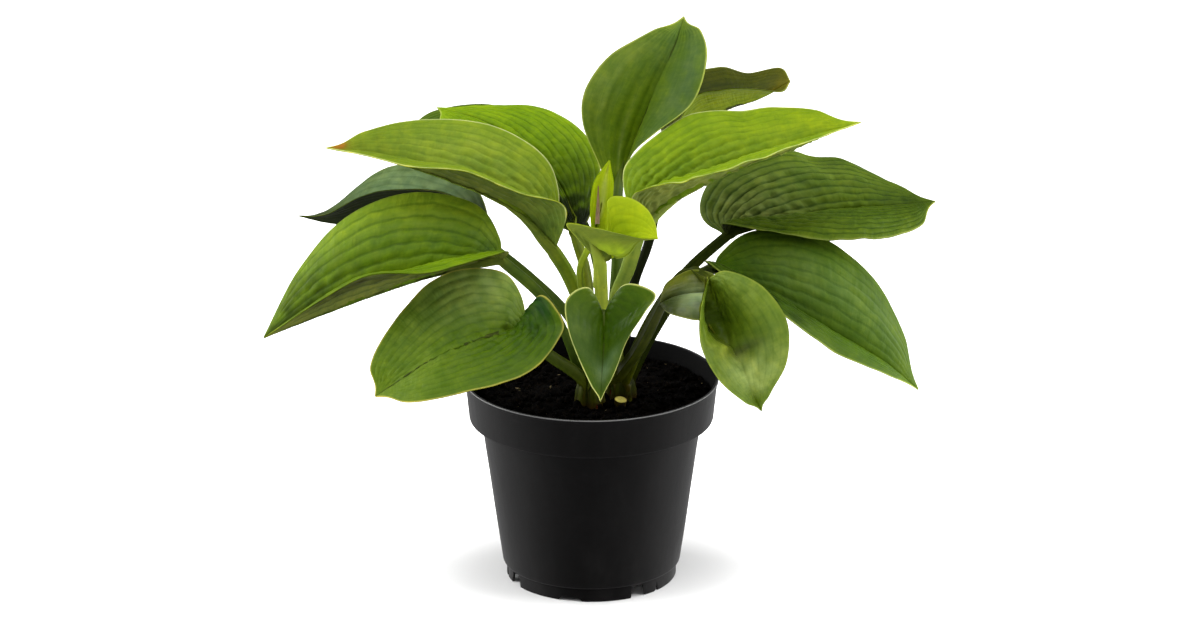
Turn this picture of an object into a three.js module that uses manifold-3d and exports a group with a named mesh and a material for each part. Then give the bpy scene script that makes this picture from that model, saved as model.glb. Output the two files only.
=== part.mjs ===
// A hosta in a black nursery pot.
// Millimetres, +Z up. The pot's axis is Z, it stands on z = 0 and its front is toward -Y.
import * as THREE from 'three';
import { mergeVertices } from 'three/addons/utils/BufferGeometryUtils.js';
import Module from 'manifold-3d';

const wasm = await Module();
wasm.setup();

// ---------------------------------------------------------------- driving dimensions
const GAP = 0.3;            // clearance between neighbouring pieces

const POT = {
  height: 140,              // ground to lip
  lip: 85.6,                // outer radius of the lip
  rollEdge: 1.5,            // depth of the lip's vertical edge
  lipWidth: 2.1,            // flat top of the lip
  bandFoot: 112,            // where the straight band ends in a step
  bandTop: 84.9,            // outer radius of the band below the lip
  bandBottom: 82.2,         // outer radius of the band above its step
  waist: 74.3,              // outer radius of the wall below the step
  heel: 60,                 // outer radius of the wall at the raised floor
  floor: 10,                // height of the raised floor's upper face beside the wall
  wall: 1.5,                // sheet thickness
  ring: [56, 57.5],         // inner and outer radius of the foot ring
  pad: 22,                  // radius of the flat pad in the middle, which stands on the ground
  padSlope: 4,              // how far the pad's cone spreads up to the floor
  drainCircle: 46,          // radius of the circle of drain holes
  drain: 5,                 // radius of one drain hole
  turn: -14.7,              // the foot pattern is turned this many degrees from the front
  sides: 44,
};

const SOIL = { level: 128, sides: 28, rings: [16, 32, 48, 66] };

const CROWN = {
  shoots: [[-1, -19], [20, -5]],  // axis of the left and the right shoot
  base: 108,                      // height where the shoots leave the rootstock
  top: 136,                       // height where the stalks leave the shoots
  foot: 9.6,                      // radius of a shoot at its base
  neck: 8.9,                      // radius of a shoot at its top
  socket: 2.4,                    // radius of the plain hole that a stalk stands in
  socketFloor: 119.7,
};

const LEAF = {
  rows: 12,                 // steps from the base of a blade to its tip
  columns: 6,               // steps from the midrib to the margin, which run along the veins
  half: 0.4,                // half the thickness of a blade
  rib: 0.8,                 // height of the low ribs between the sunken veins
  keel: 2,                  // depth of the midrib below the blade at its base
  sink: 0.1,                // how far a stalk's end sits below the blade, in stalk radii
  stalkRows: 9,             // steps along a stalk
  footHeights: [120, 136, 143],   // a stalk rises straight through its socket
  footGirth: [2, 2, 2.3],         // and has these radii there
};

// Every leaf has a stalk with its foot in the crown, and a blade between three curves from its base to its
// tip: the midrib (mid) and the left and right margins, which share the midrib's first and last points. Left
// and right are as seen from the base with the upper face up. The stalk's girth is its radius at equal steps.
const LEAVES = {
  // Left, low: folded in a V, its far half turned up, the tip hanging.
  leaf_01: {
    material: 'leaf_mid', arch: 0.11,
    foot: [-7, -19], stalk: [[-17, -30, 178], [-33, -34, 208]], girth: [3.5, 4, 4],
    mid: [[-60, -36, 233], [-92, -44, 229], [-131, -52, 219], [-173, -58, 205], [-216, -62, 189]],
    left: [[-55, -49, 245], [-81, -87, 250], [-107, -102, 248], [-142, -99, 246], [-171, -82, 226]],
    right: [[-61, -18, 245], [-77, -15, 267], [-119, -10, 273], [-161, -14, 258], [-193, -27, 226]],
  },
  // Front left: broad heart shape facing the front, over the rim.
  leaf_02: {
    material: 'leaf_mid', arch: 0.11, sink: 0.5,
    foot: [-5, -24], stalk: [[-13, -37, 157], [-27, -56, 174]], girth: [3, 3.5, 3.5],
    mid: [[-47, -80, 197], [-54, -86, 198], [-72, -96, 198], [-101, -106, 190], [-141, -108, 165]],
    left: [[-33, -90, 229], [-18, -106, 212], [-39, -124, 189], [-78, -133, 178], [-116, -126, 168]],
    right: [[-44, -63, 212], [-58, -56, 233], [-94, -57, 233], [-122, -74, 215], [-143, -96, 186]],
  },
  // Left, middle height: bright, folded in a V, almost level.
  leaf_03: {
    material: 'leaf_light', arch: 0.11,
    foot: [0, -13], stalk: [[-3, -15, 178], [-13, -10, 211]], girth: [3.5, 4.5, 4.5],
    mid: [[-25, -8, 229], [-53, -8, 260], [-90, -8, 278], [-132, -8, 293], [-176, -6, 303]],
    left: [[-17, -23, 267], [-48, -47, 285], [-82, -52, 301], [-117, -48, 303], [-148, -30, 305]],
    right: [[-22, 16, 266], [-34, 24, 290], [-68, 32, 307], [-111, 31, 311], [-147, 18, 308]],
  },
  // Behind leaf 3: bright, its broad half arched over.
  leaf_04: {
    material: 'leaf_light', arch: 0.11,
    foot: [4, -16], stalk: [[0, 4, 179], [-3, 24, 204]], girth: [3.5, 3.5, 3.5],
    mid: [[-9, 45, 225], [-20, 70, 250], [-46, 88, 273], [-74, 100, 288], [-106, 105, 299]],
    left: [[-24, 47, 232], [-45, 48, 246], [-75, 61, 259], [-92, 75, 276], [-102, 94, 288]],
    right: [[0, 60, 236], [6, 84, 259], [-7, 107, 280], [-37, 128, 290], [-72, 123, 292]],
  },
  // Far back left, dark.
  leaf_05: {
    material: 'leaf_dark', arch: 0.11,
    foot: [15, -1], stalk: [[8, 30, 184], [-1, 65, 215]], girth: [3, 3, 3],
    mid: [[-13, 95, 230], [-42, 125, 251], [-70, 145, 261], [-102, 160, 261], [-135, 168, 252]],
    left: [[-22, 109, 225], [-45, 101, 239], [-76, 107, 252], [-104, 125, 257], [-126, 153, 251]],
    right: [[-20, 138, 245], [-43, 167, 270], [-74, 184, 275], [-106, 188, 270], [-123, 182, 262]],
  },
  // Left, behind leaves 1 and 3: bluish and dark.
  leaf_06: {
    material: 'leaf_blue', arch: 0.11,
    foot: [-5, -14], stalk: [[-13, -5, 180], [-41, 10, 206]], girth: [3.5, 3.8, 3.8],
    mid: [[-73, 30, 224], [-102, 42, 226], [-135, 52, 226], [-167, 58, 227], [-199, 60, 234]],
    left: [[-68, 41, 232], [-87, 30, 255], [-112, 31, 260], [-146, 34, 258], [-176, 42, 245]],
    right: [[-70, 48, 239], [-82, 69, 255], [-113, 86, 262], [-144, 91, 257], [-180, 87, 233]],
  },
  // Top centre, upright.
  leaf_07: {
    material: 'leaf_mid', arch: 0.07,
    foot: [14, -7], stalk: [[13, 8, 177], [14, 18, 217]], girth: [3.5, 3.5, 3.5],
    mid: [[15, 30, 251], [25, 44, 280], [38, 54, 314], [52, 60, 345], [62, 62, 374]],
    left: [[4, 37, 280], [-6, 38, 307], [-4, 39, 330], [12, 45, 351], [38, 53, 365]],
    right: [[26, 38, 282], [42, 31, 301], [67, 34, 321], [77, 42, 348], [74, 60, 363]],
  },
  // Right back, dark, behind leaf 7.
  leaf_08: {
    material: 'leaf_dark', arch: 0.11,
    foot: [20, 1], stalk: [[25, 20, 195], [37, 36, 228]], girth: [3.5, 3.5, 3.2],
    mid: [[49, 60, 279], [69, 84, 293], [93, 100, 296], [114, 112, 300], [133, 120, 310]],
    left: [[48, 98, 291], [60, 117, 313], [87, 130, 318], [107, 136, 312], [126, 132, 317]],
    right: [[54, 60, 291], [70, 69, 315], [88, 75, 318], [106, 86, 316], [125, 104, 309]],
  },
  // Right: bright, folded in a V, rising outward.
  leaf_09: {
    material: 'leaf_light', arch: 0.11,
    foot: [20, -5], stalk: [[13, -8, 190], [22, -4, 218]], girth: [3.5, 4, 4],
    mid: [[32, 0, 238], [56, -2, 263], [91, -4, 283], [133, -4, 301], [179, 0, 319]],
    left: [[21, 20, 272], [32, 27, 291], [66, 35, 313], [107, 34, 318], [143, 23, 321]],
    right: [[27, -16, 272], [45, -37, 287], [74, -49, 297], [105, -45, 306], [141, -27, 313]],
  },
  // Right: dark, broad, strongly ribbed.
  leaf_10: {
    material: 'leaf_dark', arch: 0.11, rib: 1.3,
    foot: [25, -1], stalk: [[43, 8, 181], [66, 18, 209]], girth: [3.5, 4, 4],
    mid: [[92, 28, 229], [123, 34, 237], [159, 40, 242], [195, 42, 246], [232, 42, 250]],
    left: [[74, 53, 237], [84, 65, 261], [124, 77, 274], [165, 82, 269], [204, 71, 254]],
    right: [[88, 20, 242], [116, 1, 242], [149, -7, 240], [184, 0, 237], [219, 24, 237]],
  },
  // Right, low, its tip hanging.
  leaf_11: {
    material: 'leaf_mid', arch: 0.11,
    foot: [26, -6], stalk: [[41, -6, 177], [60, -8, 206]], girth: [3.5, 3.8, 3.8],
    mid: [[81, -10, 220], [117, -22, 211], [153, -30, 194], [189, -36, 172], [218, -38, 144]],
    left: [[87, 6, 226], [107, 14, 238], [145, 12, 239], [185, 6, 212], [207, -10, 178]],
    right: [[76, -26, 230], [101, -58, 222], [130, -75, 207], [160, -77, 185], [192, -62, 165]],
  },
  // Front right: cupped, hanging over the rim.
  leaf_12: {
    material: 'leaf_mid', arch: 0.1, sink: 0.05,
    foot: [23, -10], stalk: [[40, -18, 186], [62, -33, 225]], girth: [3.2, 3.2, 3],
    mid: [[77, -62, 231], [80, -76, 212], [92, -84, 189], [103, -86, 166], [112, -84, 146]],
    left: [[89, -76, 241], [111, -89, 235], [127, -99, 215], [128, -99, 187], [118, -95, 164]],
    right: [[75, -84, 234], [71, -99, 221], [72, -109, 199], [83, -105, 175], [99, -97, 158]],
  },
  // Centre front: small heart shape.
  leaf_13: {
    material: 'leaf_gloss', arch: 0.07, rib: 0.3, rows: 10, columns: 5, keel: 1,
    foot: [1, -25], stalk: [[2, -38, 173], [6, -50, 196]], girth: [2.6, 2.6, 2.6],
    mid: [[8, -58, 205], [8, -63, 195], [8, -69, 182], [7, -73, 166], [6, -74, 149]],
    left: [[22, -63, 227], [42, -66, 222], [35, -72, 210], [24, -74, 193], [16, -76, 172]],
    right: [[-2, -63, 225], [-16, -68, 219], [-16, -73, 203], [-9, -76, 182], [-1, -78, 164]],
  },
  // Centre: young, cupped round the spear.
  leaf_14: {
    material: 'leaf_young', arch: -0.06, rib: 0.5, rows: 10, columns: 5, keel: 1,
    foot: [5, -21], stalk: [[7, -34, 178], [7, -39, 208]], girth: [3.6, 4, 4.4],
    mid: [[6, -42, 235], [15, -47, 240], [24, -50, 246], [32, -50, 253], [44, -46, 253]],
    left: [[11, -43, 258], [11, -43, 279], [24, -41, 280], [36, -42, 273], [42, -44, 263]],
    right: [[-9, -51, 255], [-16, -54, 266], [-1, -59, 266], [17, -63, 263], [32, -59, 258]],
  },
  // Centre spear, still rolled.
  leaf_15: {
    material: 'leaf_young', arch: -0.25, rib: 0.2, rows: 8, columns: 4, keel: 0.6,
    foot: [-1, -19], stalk: [[-3, -24, 189], [-7, -34, 225]], girth: [2.4, 2.6, 2.6],
    mid: [[-5, -36, 244], [1, -35, 258], [6, -32, 271], [9, -29, 286], [12, -27, 301]],
    left: [[-7, -40, 255], [-3, -39, 268], [0, -36, 279], [3, -35, 289], [8, -31, 296]],
    right: [[5, -41, 255], [13, -38, 268], [16, -36, 278], [15, -34, 288], [13, -32, 295]],
  },
  // Short glossy leaf behind the left edge of leaf 12.
  leaf_16: {
    material: 'leaf_dark', arch: 0.18, rib: 0.3, rows: 8, columns: 4, keel: 1,
    foot: [17, -11], stalk: [[30, -27, 168], [39, -36, 189]], girth: [3.5, 3.5, 3.5],
    mid: [[45, -46, 208], [55, -52, 215], [68, -56, 219], [81, -54, 218], [94, -48, 212]],
    left: [[49, -40, 216], [58, -43, 221], [67, -45, 222], [79, -43, 221], [91, -44, 216]],
    right: [[50, -61, 207], [59, -71, 207], [72, -77, 207], [84, -69, 207], [93, -57, 209]],
  },
};

// Thin dry bract in the roll of the spear.
const SHEATH = { path: [[4, -36.1, 260], [4.5, -33, 272], [4.7, -31.1, 285]], width: 1.4, thick: 0.7 };

// ---------------------------------------------------------------- geometry helpers
const vector = ([x, y, z]) => new THREE.Vector3(x, y, z);
const curve = (points) => new THREE.CatmullRomCurve3(points.map(vector), false, 'catmullrom', 0.5);

// A closed three.js geometry as a solid that can be joined and cut.
function solid(geometry) {
  geometry.deleteAttribute('normal');
  geometry.deleteAttribute('uv');
  const merged = mergeVertices(geometry);
  const index = merged.index.array;
  const triangles = [];
  for (let i = 0; i < index.length; i += 3) {
    const [a, b, c] = index.subarray(i, i + 3);
    if (a !== b && b !== c && a !== c) triangles.push(a, b, c);
  }
  return new wasm.Manifold(new wasm.Mesh({
    numProp: 3,
    vertProperties: merged.attributes.position.array,
    triVerts: new Uint32Array(triangles),
  }));
}

// A solid from its own corners and triangles.
function shell(vertices, faces) {
  const geometry = new THREE.BufferGeometry().setFromPoints(vertices);
  geometry.setIndex(faces.flat());
  return solid(geometry);
}

// Body of revolution about Z. The profile of [radius, height] starts and ends on the axis, outside first.
function lathe(profile, sides) {
  const points = profile.map(([r, z]) => new THREE.Vector2(r, z));
  return solid(new THREE.LatheGeometry(points, sides).rotateX(Math.PI / 2));
}

// Upright round bar between two heights.
function bar(low, high, [x, y], footRadius, topRadius, sides) {
  const geometry = new THREE.CylinderGeometry(topRadius, footRadius, high - low, sides).rotateX(Math.PI / 2);
  return solid(geometry.translate(x, y, (low + high) / 2));
}

// Rounded lump: a ball scaled to its half axes, turned about Z and placed.
function lump([x, y, z], halfAxes, degrees, sides) {
  const ball = new THREE.SphereGeometry(1, sides, sides / 2).rotateX(Math.PI / 2);
  ball.scale(...halfAxes).rotateZ(THREE.MathUtils.degToRad(degrees));
  return solid(ball.translate(x, y, z));
}

// Value at fraction t along a list of values at equal steps.
function along(values, t) {
  const k = t * (values.length - 1);
  const a = Math.min(Math.floor(k), values.length - 2);
  return THREE.MathUtils.lerp(values[a], values[a + 1], k - a);
}

// Loft of one closed section. Each station has a point, the direction of travel and a radius. The section's y
// axis starts along `up` at the last station and is carried back to the first without twist.
function loft(section, stations, up) {
  const sides = section.length;
  const rings = [];
  let carried = up;
  for (let i = stations.length - 1; i >= 0; i--) {
    const { point, tangent, radius } = stations[i];
    const top = carried.clone().addScaledVector(tangent, -carried.dot(tangent)).normalize();
    const side = new THREE.Vector3().crossVectors(top, tangent).normalize();
    side.multiplyScalar(radius);
    top.multiplyScalar(radius);
    rings[i] = section.map(([x, y]) => point.clone().addScaledVector(side, x).addScaledVector(top, y));
    carried = top;
  }
  const faces = [];
  const end = (stations.length - 1) * sides;
  for (let a = 0; a < end; a++) {
    const b = a - (a % sides) + ((a + 1) % sides);
    faces.push([a, b, b + sides], [a, b + sides, a + sides]);
  }
  const outline = section.map(([x, y]) => new THREE.Vector2(x, y));
  for (const [a, b, c] of THREE.ShapeUtils.triangulateShape(outline, [])) {
    faces.push([a, c, b], [end + a, end + b, end + c]);
  }
  return shell(rings.flat(), faces);
}

// Stations at equal steps of a curve.
function stationsOn(path, girth, rows) {
  return Array.from({ length: rows + 1 }, (_, i) => {
    const t = i / rows;
    return { point: path.getPoint(t), tangent: path.getTangent(t), radius: along(girth, t) };
  });
}

// ---------------------------------------------------------------- leaves
// Grid of points on the middle sheet of a blade. Rows join equal steps of the three curves. Each half is
// arched across, and its veins lie sunk between low ribs.
function bladeSheet(leaf) {
  const [base, tip] = [leaf.mid[0], leaf.mid[4]];
  const mid = curve(leaf.mid);
  const margins = { left: curve([base, ...leaf.left, tip]), right: curve([base, ...leaf.right, tip]) };
  const rows = leaf.rows ?? LEAF.rows;
  const columns = leaf.columns ?? LEAF.columns;
  const margin = (j) => (j < 0 ? margins.right : margins.left);
  const flat = (i, j) => mid.getPoint(i / rows).lerp(margin(j).getPoint(i / rows), Math.abs(j) / columns);
  const span = (i, j) => mid.getPoint(i / rows).distanceTo(margin(j).getPoint(i / rows));
  const widest = (j) => Math.max(...Array.from({ length: rows + 1 }, (_, i) => span(i, j)));
  const grid = [];
  for (let i = 0; i <= rows; i++) {
    const k = THREE.MathUtils.clamp(i, 1, rows - 1);
    const row = [];
    for (let j = -columns; j <= columns; j++) {
      const side = j < 0 ? -1 : 1;
      const u = Math.abs(j) / columns;
      const across = flat(k, side * columns).sub(flat(k, 0)).multiplyScalar(side);
      const lengthwise = flat(k + 1, j).sub(flat(k - 1, j));
      const normal = new THREE.Vector3().crossVectors(lengthwise, across).normalize();
      const arch = leaf.arch * 4 * u * (1 - u) * span(i, side);
      const ridge = j % 2 ? 1 - u ** 4 : 0;
      const rib = (leaf.rib ?? LEAF.rib) * ridge * Math.min(span(i, side) / widest(side), 1);
      row.push(flat(i, j).addScaledVector(normal, arch + rib));
    }
    grid.push(row);
  }
  return grid;
}

// Upper side's direction at each point of a sheet.
function sheetNormals(grid) {
  const rows = grid.length - 1;
  const last = grid[0].length - 1;
  return grid.map((row, i) => row.map((_, j) => {
    const k = THREE.MathUtils.clamp(i, 1, rows - 1);
    const lengthwise = grid[k + 1][j].clone().sub(grid[k - 1][j]);
    const across = grid[k][Math.min(j + 1, last)].clone().sub(grid[k][Math.max(j - 1, 0)]);
    return new THREE.Vector3().crossVectors(lengthwise, across).normalize();
  }));
}

// The blade: its sheet thickened to both faces, with the keel of the midrib below. Both faces are split alike.
function blade(leaf, grid, normals) {
  const rows = grid.length - 1;
  const count = grid[0].length;
  const centre = (count - 1) / 2;
  const vertices = [];
  const above = [];
  const below = [];
  for (let i = 0; i <= rows; i++) {
    const pointed = i === 0 || i === rows;
    above.push([]);
    below.push([]);
    for (let j = 0; j < count; j++) {
      if (pointed && j > 0) {
        above[i].push(above[i][0]);
        below[i].push(below[i][0]);
        continue;
      }
      const normal = pointed ? normals[i][centre] : normals[i][j];
      const keel = !pointed && j === centre ? (leaf.keel ?? LEAF.keel) * (1 - i / rows) : 0;
      above[i].push(vertices.push(grid[i][j].clone().addScaledVector(normal, LEAF.half)) - 1);
      below[i].push(vertices.push(grid[i][j].clone().addScaledVector(normal, -LEAF.half - keel)) - 1);
    }
  }
  const faces = [];
  const face = (a, b, c) => {
    if (a !== b && b !== c && a !== c) faces.push([a, b, c]);
  };
  const cell = (sheet, i, j) => [sheet[i][j], sheet[i + 1][j], sheet[i + 1][j + 1], sheet[i][j + 1]];
  for (let i = 0; i < rows; i++) {
    for (let j = 0; j < count - 1; j++) {
      const [a, b, c, d] = cell(above, i, j);
      const [e, f, g, h] = cell(below, i, j);
      if (j < centre) {
        [[a, b, c], [a, c, d], [e, g, f], [e, h, g]].forEach((corners) => face(...corners));
      } else {
        [[a, b, d], [b, c, d], [e, h, f], [f, h, g]].forEach((corners) => face(...corners));
      }
    }
    const edge = (j) => [above[i][j], above[i + 1][j], below[i + 1][j], below[i][j]];
    const [a, b, c, d] = edge(0);
    [[a, d, c], [a, c, b]].forEach((corners) => face(...corners));
    const [e, f, g, h] = edge(count - 1);
    [[e, g, h], [e, f, g]].forEach((corners) => face(...corners));
  }
  return shell(vertices, faces);
}

// Crescent section of a leaf stalk, with its shallow channel on the upper side.
const CHANNELLED = [
  [-1, 0.3], [-0.8, -0.5], [-0.3, -0.95], [0.3, -0.95], [0.8, -0.5], [1, 0.3], [0.42, 0.1], [-0.42, 0.1],
];

// The stalk runs from its socket to the base of the blade and a little way on below the midrib.
function stalk(leaf, grid, normals) {
  const centre = (grid[0].length - 1) / 2;
  const foot = LEAF.footHeights.map((z) => [...leaf.foot, z]);
  const path = curve([...foot, ...leaf.stalk, leaf.mid[0]]);
  const stations = stationsOn(path, [...LEAF.footGirth, ...leaf.girth], LEAF.stalkRows);
  const up = normals[1][centre];
  const end = stations[LEAF.stalkRows];
  end.point.addScaledVector(up, -(leaf.sink ?? LEAF.sink) * end.radius);
  stations.push({
    point: grid[1][centre].clone().addScaledVector(up, -0.9),
    tangent: grid[2][centre].clone().sub(grid[0][centre]).normalize(),
    radius: Math.min(end.radius / 2, 1.6),
  });
  return loft(CHANNELLED, stations, up);
}

function leafBody(leaf) {
  const grid = bladeSheet(leaf);
  const normals = sheetNormals(grid);
  return blade(leaf, grid, normals).add(stalk(leaf, grid, normals));
}

// A flat lozenge section, narrowing to the top.
function sheathBody() {
  const { path, width, thick } = SHEATH;
  const section = [[-1, 0], [0, -thick / width], [1, 0], [0, thick / width]];
  return loft(section, stationsOn(curve(path), [width, width / 4], 5), new THREE.Vector3(0, 1, 0));
}

// ---------------------------------------------------------------- pot
// Solid block between two radii and heights, over an angle about Z measured from the turned front.
function sector([inner, outer], low, high, centre, width) {
  const middle = POT.turn - 90 + centre;
  const from = THREE.MathUtils.degToRad(middle - width / 2);
  const to = THREE.MathUtils.degToRad(middle + width / 2);
  const outline = new THREE.Shape();
  outline.absarc(0, 0, outer, from, to, false);
  outline.absarc(0, 0, inner, to, from, true);
  const block = { depth: high - low, bevelEnabled: false, curveSegments: 3 };
  return solid(new THREE.ExtrudeGeometry(outline, block).translate(0, 0, low));
}

// The outline runs out over the underside, up the wall, over the lip and down the inside.
function potShell() {
  const { height, lip, bandFoot, heel, floor, wall, ring, pad, waist } = POT;
  const under = floor - wall;
  return lathe([
    [0, 0], [pad, 0], [pad + POT.padSlope, under], [ring[0], under], [ring[0], 0], [ring[1], 0],
    [ring[1], floor], [heel, floor], [waist, bandFoot], [POT.bandBottom, bandFoot], [POT.bandTop, height - 2],
    [lip, height - POT.rollEdge], [lip, height], [lip - POT.lipWidth, height],
    [POT.bandBottom - wall, bandFoot + wall], [waist - 1.4, bandFoot + wall], [heel - 1.4, floor + 0.5],
    [pad + 2.5, floor + 0.5], [pad - 1.5, 2], [0, 2],
  ], POT.sides);
}

// The foot ring is notched at two sides, and parted and slotted beside the notches; the floor drains beside
// the ring at six places.
function potBody() {
  const foot = [POT.ring[0] - 1, POT.ring[1] + 1];
  const [notch, part, slot] = [0, 47.7, 64.5];
  const cuts = [];
  const drainAt = (degrees) => {
    const a = THREE.MathUtils.degToRad(POT.turn - 90 + degrees);
    const centre = [POT.drainCircle * Math.cos(a), POT.drainCircle * Math.sin(a)];
    cuts.push(bar(6, 12, centre, POT.drain, POT.drain, 8));
  };
  for (const half of [0, 180]) {
    cuts.push(sector(foot, -1, 1.7, half + notch, 15));
    drainAt(half);
    for (const side of [-1, 1]) {
      cuts.push(sector(foot, -1, 9, half + side * part, 10));
      cuts.push(sector(foot, -1, 9, half + side * slot, 1.5));
      drainAt(half + side * part);
    }
  }
  return cuts.reduce((body, cut) => body.subtract(cut), potShell());
}

// ---------------------------------------------------------------- crown and roots
// Fleshy roots as a path and their radius at equal steps.
const ROOTS = [
  { path: [[2, -20, 110], [-18, -36, 92], [-32, -42, 66], [-38, -36, 44]], girth: [3, 2.2, 1.4] },
  { path: [[14, -18, 108], [22, -42, 90], [26, -50, 64], [20, -52, 38]], girth: [3, 2.2, 1.4] },
  { path: [[20, -6, 110], [42, 4, 94], [52, 12, 70], [48, 16, 46]], girth: [3, 2.2, 1.4] },
  { path: [[8, -4, 108], [2, 22, 92], [-6, 40, 68], [-4, 46, 42]], girth: [3, 2.2, 1.4] },
  { path: [[-4, -14, 108], [-30, -2, 88], [-44, 8, 62], [-42, 14, 40]], girth: [2.8, 2, 1.4] },
];

// Cut end of an old stalk at the front of the right shoot.
const STUB = { path: [[17, -13, 116], [17.4, -15.5, 124], [18, -17.5, 131]], girth: [3.6, 3.3, 3] };

function roundSection(sides) {
  return Array.from({ length: sides }, (_, i) => {
    const a = 2 * Math.PI * i / sides;
    return [Math.cos(a), Math.sin(a)];
  });
}

function rod({ path, girth }, grow, sides, rows) {
  const stations = stationsOn(curve(path), girth.map((r) => r + grow), rows);
  return loft(roundSection(sides), stations, new THREE.Vector3(1, 0, 0));
}

// Two shoots on one rootstock with its roots. `grow` makes it larger all round, for the hole in the soil.
function crownMass(grow) {
  const { shoots, base, top, foot, neck } = CROWN;
  const parts = shoots.map((at) => bar(base, top, at, foot + grow, neck + grow, 16));
  parts.push(lump([9.5, -12, 112], [18.4 + grow, 13.6 + grow, 11.2 + grow], 34, 12));
  parts.push(...ROOTS.map((root) => rod(root, grow, 5, 4)));
  parts.push(rod(STUB, grow, 8, 2));
  return parts.reduce((a, b) => a.add(b));
}

// Every stalk stands in a plain round hole from the top of its shoot.
function crownBody() {
  const { socket, socketFloor, top } = CROWN;
  const sockets = Object.values(LEAVES).map((leaf) => bar(socketFloor, top + 4, leaf.foot, socket, socket, 8));
  return sockets.reduce((body, hole) => body.subtract(hole), crownMass(0));
}

// ---------------------------------------------------------------- soil
// Lumps of the peat mix on the surface as x, y and radius.
const LUMPS = [
  [-12, -45, 6], [6, -44, 4], [-48, -26, 4], [-40, -38, 3], [44, -34, 3.5], [56, 6, 4], [30, 34, 4],
  [-30, 36, 4.5], [34, -52, 3], [-20, -60, 3],
];

// Height of the uneven surface: two crossed waves, and a hollow at the front right.
function soilTop(x, y) {
  const broad = 0.9 * Math.sin(0.11 * x + 0.6) * Math.cos(0.09 * y);
  const narrow = 0.6 * Math.sin(0.23 * y - 0.17 * x + 1.1);
  const hollow = 0.8 * Math.exp(-((x - 40) ** 2 + (y + 20) ** 2) / 900);
  return SOIL.level + broad + narrow - hollow;
}

// The mix fills the pot to its floor. Rings of points run over the surface and down the wall.
function soilBody() {
  const { heel, floor, waist, bandFoot, bandBottom, wall, pad } = POT;
  const onFloor = floor + 0.5;
  const step = bandFoot + wall + 0.6;
  const rings = [
    ...[...SOIL.rings, bandBottom - 0.6].map((radius) => [radius, null]),
    [bandBottom - wall - 0.6, step], [waist - 2.1, step], [heel - 2, floor + 1], [heel - 2, onFloor],
    [pad + 2, onFloor], [pad - 1.9, 2],
  ];
  const vertices = [new THREE.Vector3(0, 0, soilTop(0, 0))];
  for (const [radius, height] of rings) {
    for (let j = 0; j < SOIL.sides; j++) {
      const a = 2 * Math.PI * j / SOIL.sides;
      const [x, y] = [radius * Math.cos(a), radius * Math.sin(a)];
      vertices.push(new THREE.Vector3(x, y, height ?? soilTop(x, y)));
    }
  }
  const bottom = vertices.push(new THREE.Vector3(0, 0, 2)) - 1;
  const at = (ring, j) => 1 + ring * SOIL.sides + (j % SOIL.sides);
  const faces = [];
  for (let j = 0; j < SOIL.sides; j++) {
    faces.push([0, at(0, j), at(0, j + 1)]);
    for (let i = 0; i < rings.length - 1; i++) {
      faces.push([at(i, j), at(i + 1, j), at(i + 1, j + 1)], [at(i, j), at(i + 1, j + 1), at(i, j + 1)]);
    }
    faces.push([bottom, at(rings.length - 1, j + 1), at(rings.length - 1, j)]);
  }
  const mix = LUMPS.reduce((body, [x, y, r]) => {
    const centre = [x, y, soilTop(x, y) - 0.2 * r];
    return body.add(lump(centre, [1.2 * r, 0.9 * r, 0.7 * r], 40 * r, 8));
  }, shell(vertices, faces));
  return mix.subtract(crownMass(GAP));
}

// ---------------------------------------------------------------- assembly
const FINISHES = {
  pot_plastic: [0x1d1e20, 0.55],
  soil_peat: [0x140d09, 1],
  crown: [0x7a7a2e, 0.7],
  sheath_dry: [0x9a7a68, 0.8],
  leaf_light: [0x86b02e, 0.5],
  leaf_mid: [0x55852a, 0.45],
  leaf_dark: [0x2f5a1c, 0.45],
  leaf_blue: [0x335a34, 0.45],
  leaf_young: [0x9cc32a, 0.5],
  leaf_gloss: [0x4d8426, 0.3],
};

function piece(name, body, finish) {
  const mesh = body.getMesh();
  const geometry = new THREE.BufferGeometry();
  geometry.setAttribute('position', new THREE.BufferAttribute(new Float32Array(mesh.vertProperties), 3));
  geometry.setIndex(new THREE.BufferAttribute(new Uint32Array(mesh.triVerts), 1));
  geometry.computeVertexNormals();
  const [color, roughness] = FINISHES[finish];
  const material = new THREE.MeshStandardMaterial({ name: finish, color, roughness, metalness: 0 });
  const out = new THREE.Mesh(geometry, material);
  out.name = name;
  return out;
}

const hosta = new THREE.Group();
hosta.name = 'potted_hosta';
hosta.add(piece('pot', potBody(), 'pot_plastic'));
hosta.add(piece('soil', soilBody(), 'soil_peat'));
hosta.add(piece('crown', crownBody(), 'crown'));
for (const [name, leaf] of Object.entries(LEAVES)) hosta.add(piece(name, leafBody(leaf), leaf.material));
hosta.add(piece('sheath', sheathBody(), 'sheath_dry'));

export default hosta;
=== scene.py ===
"""A hosta in a black nursery pot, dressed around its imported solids.

Every size is in millimetres in the data and in metres in the meshes. +Z is up, the pot's axis is Z and its
front looks toward -Y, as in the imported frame.
"""

from __future__ import annotations

import logging
import math
from dataclasses import dataclass, fields
from enum import Enum

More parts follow.
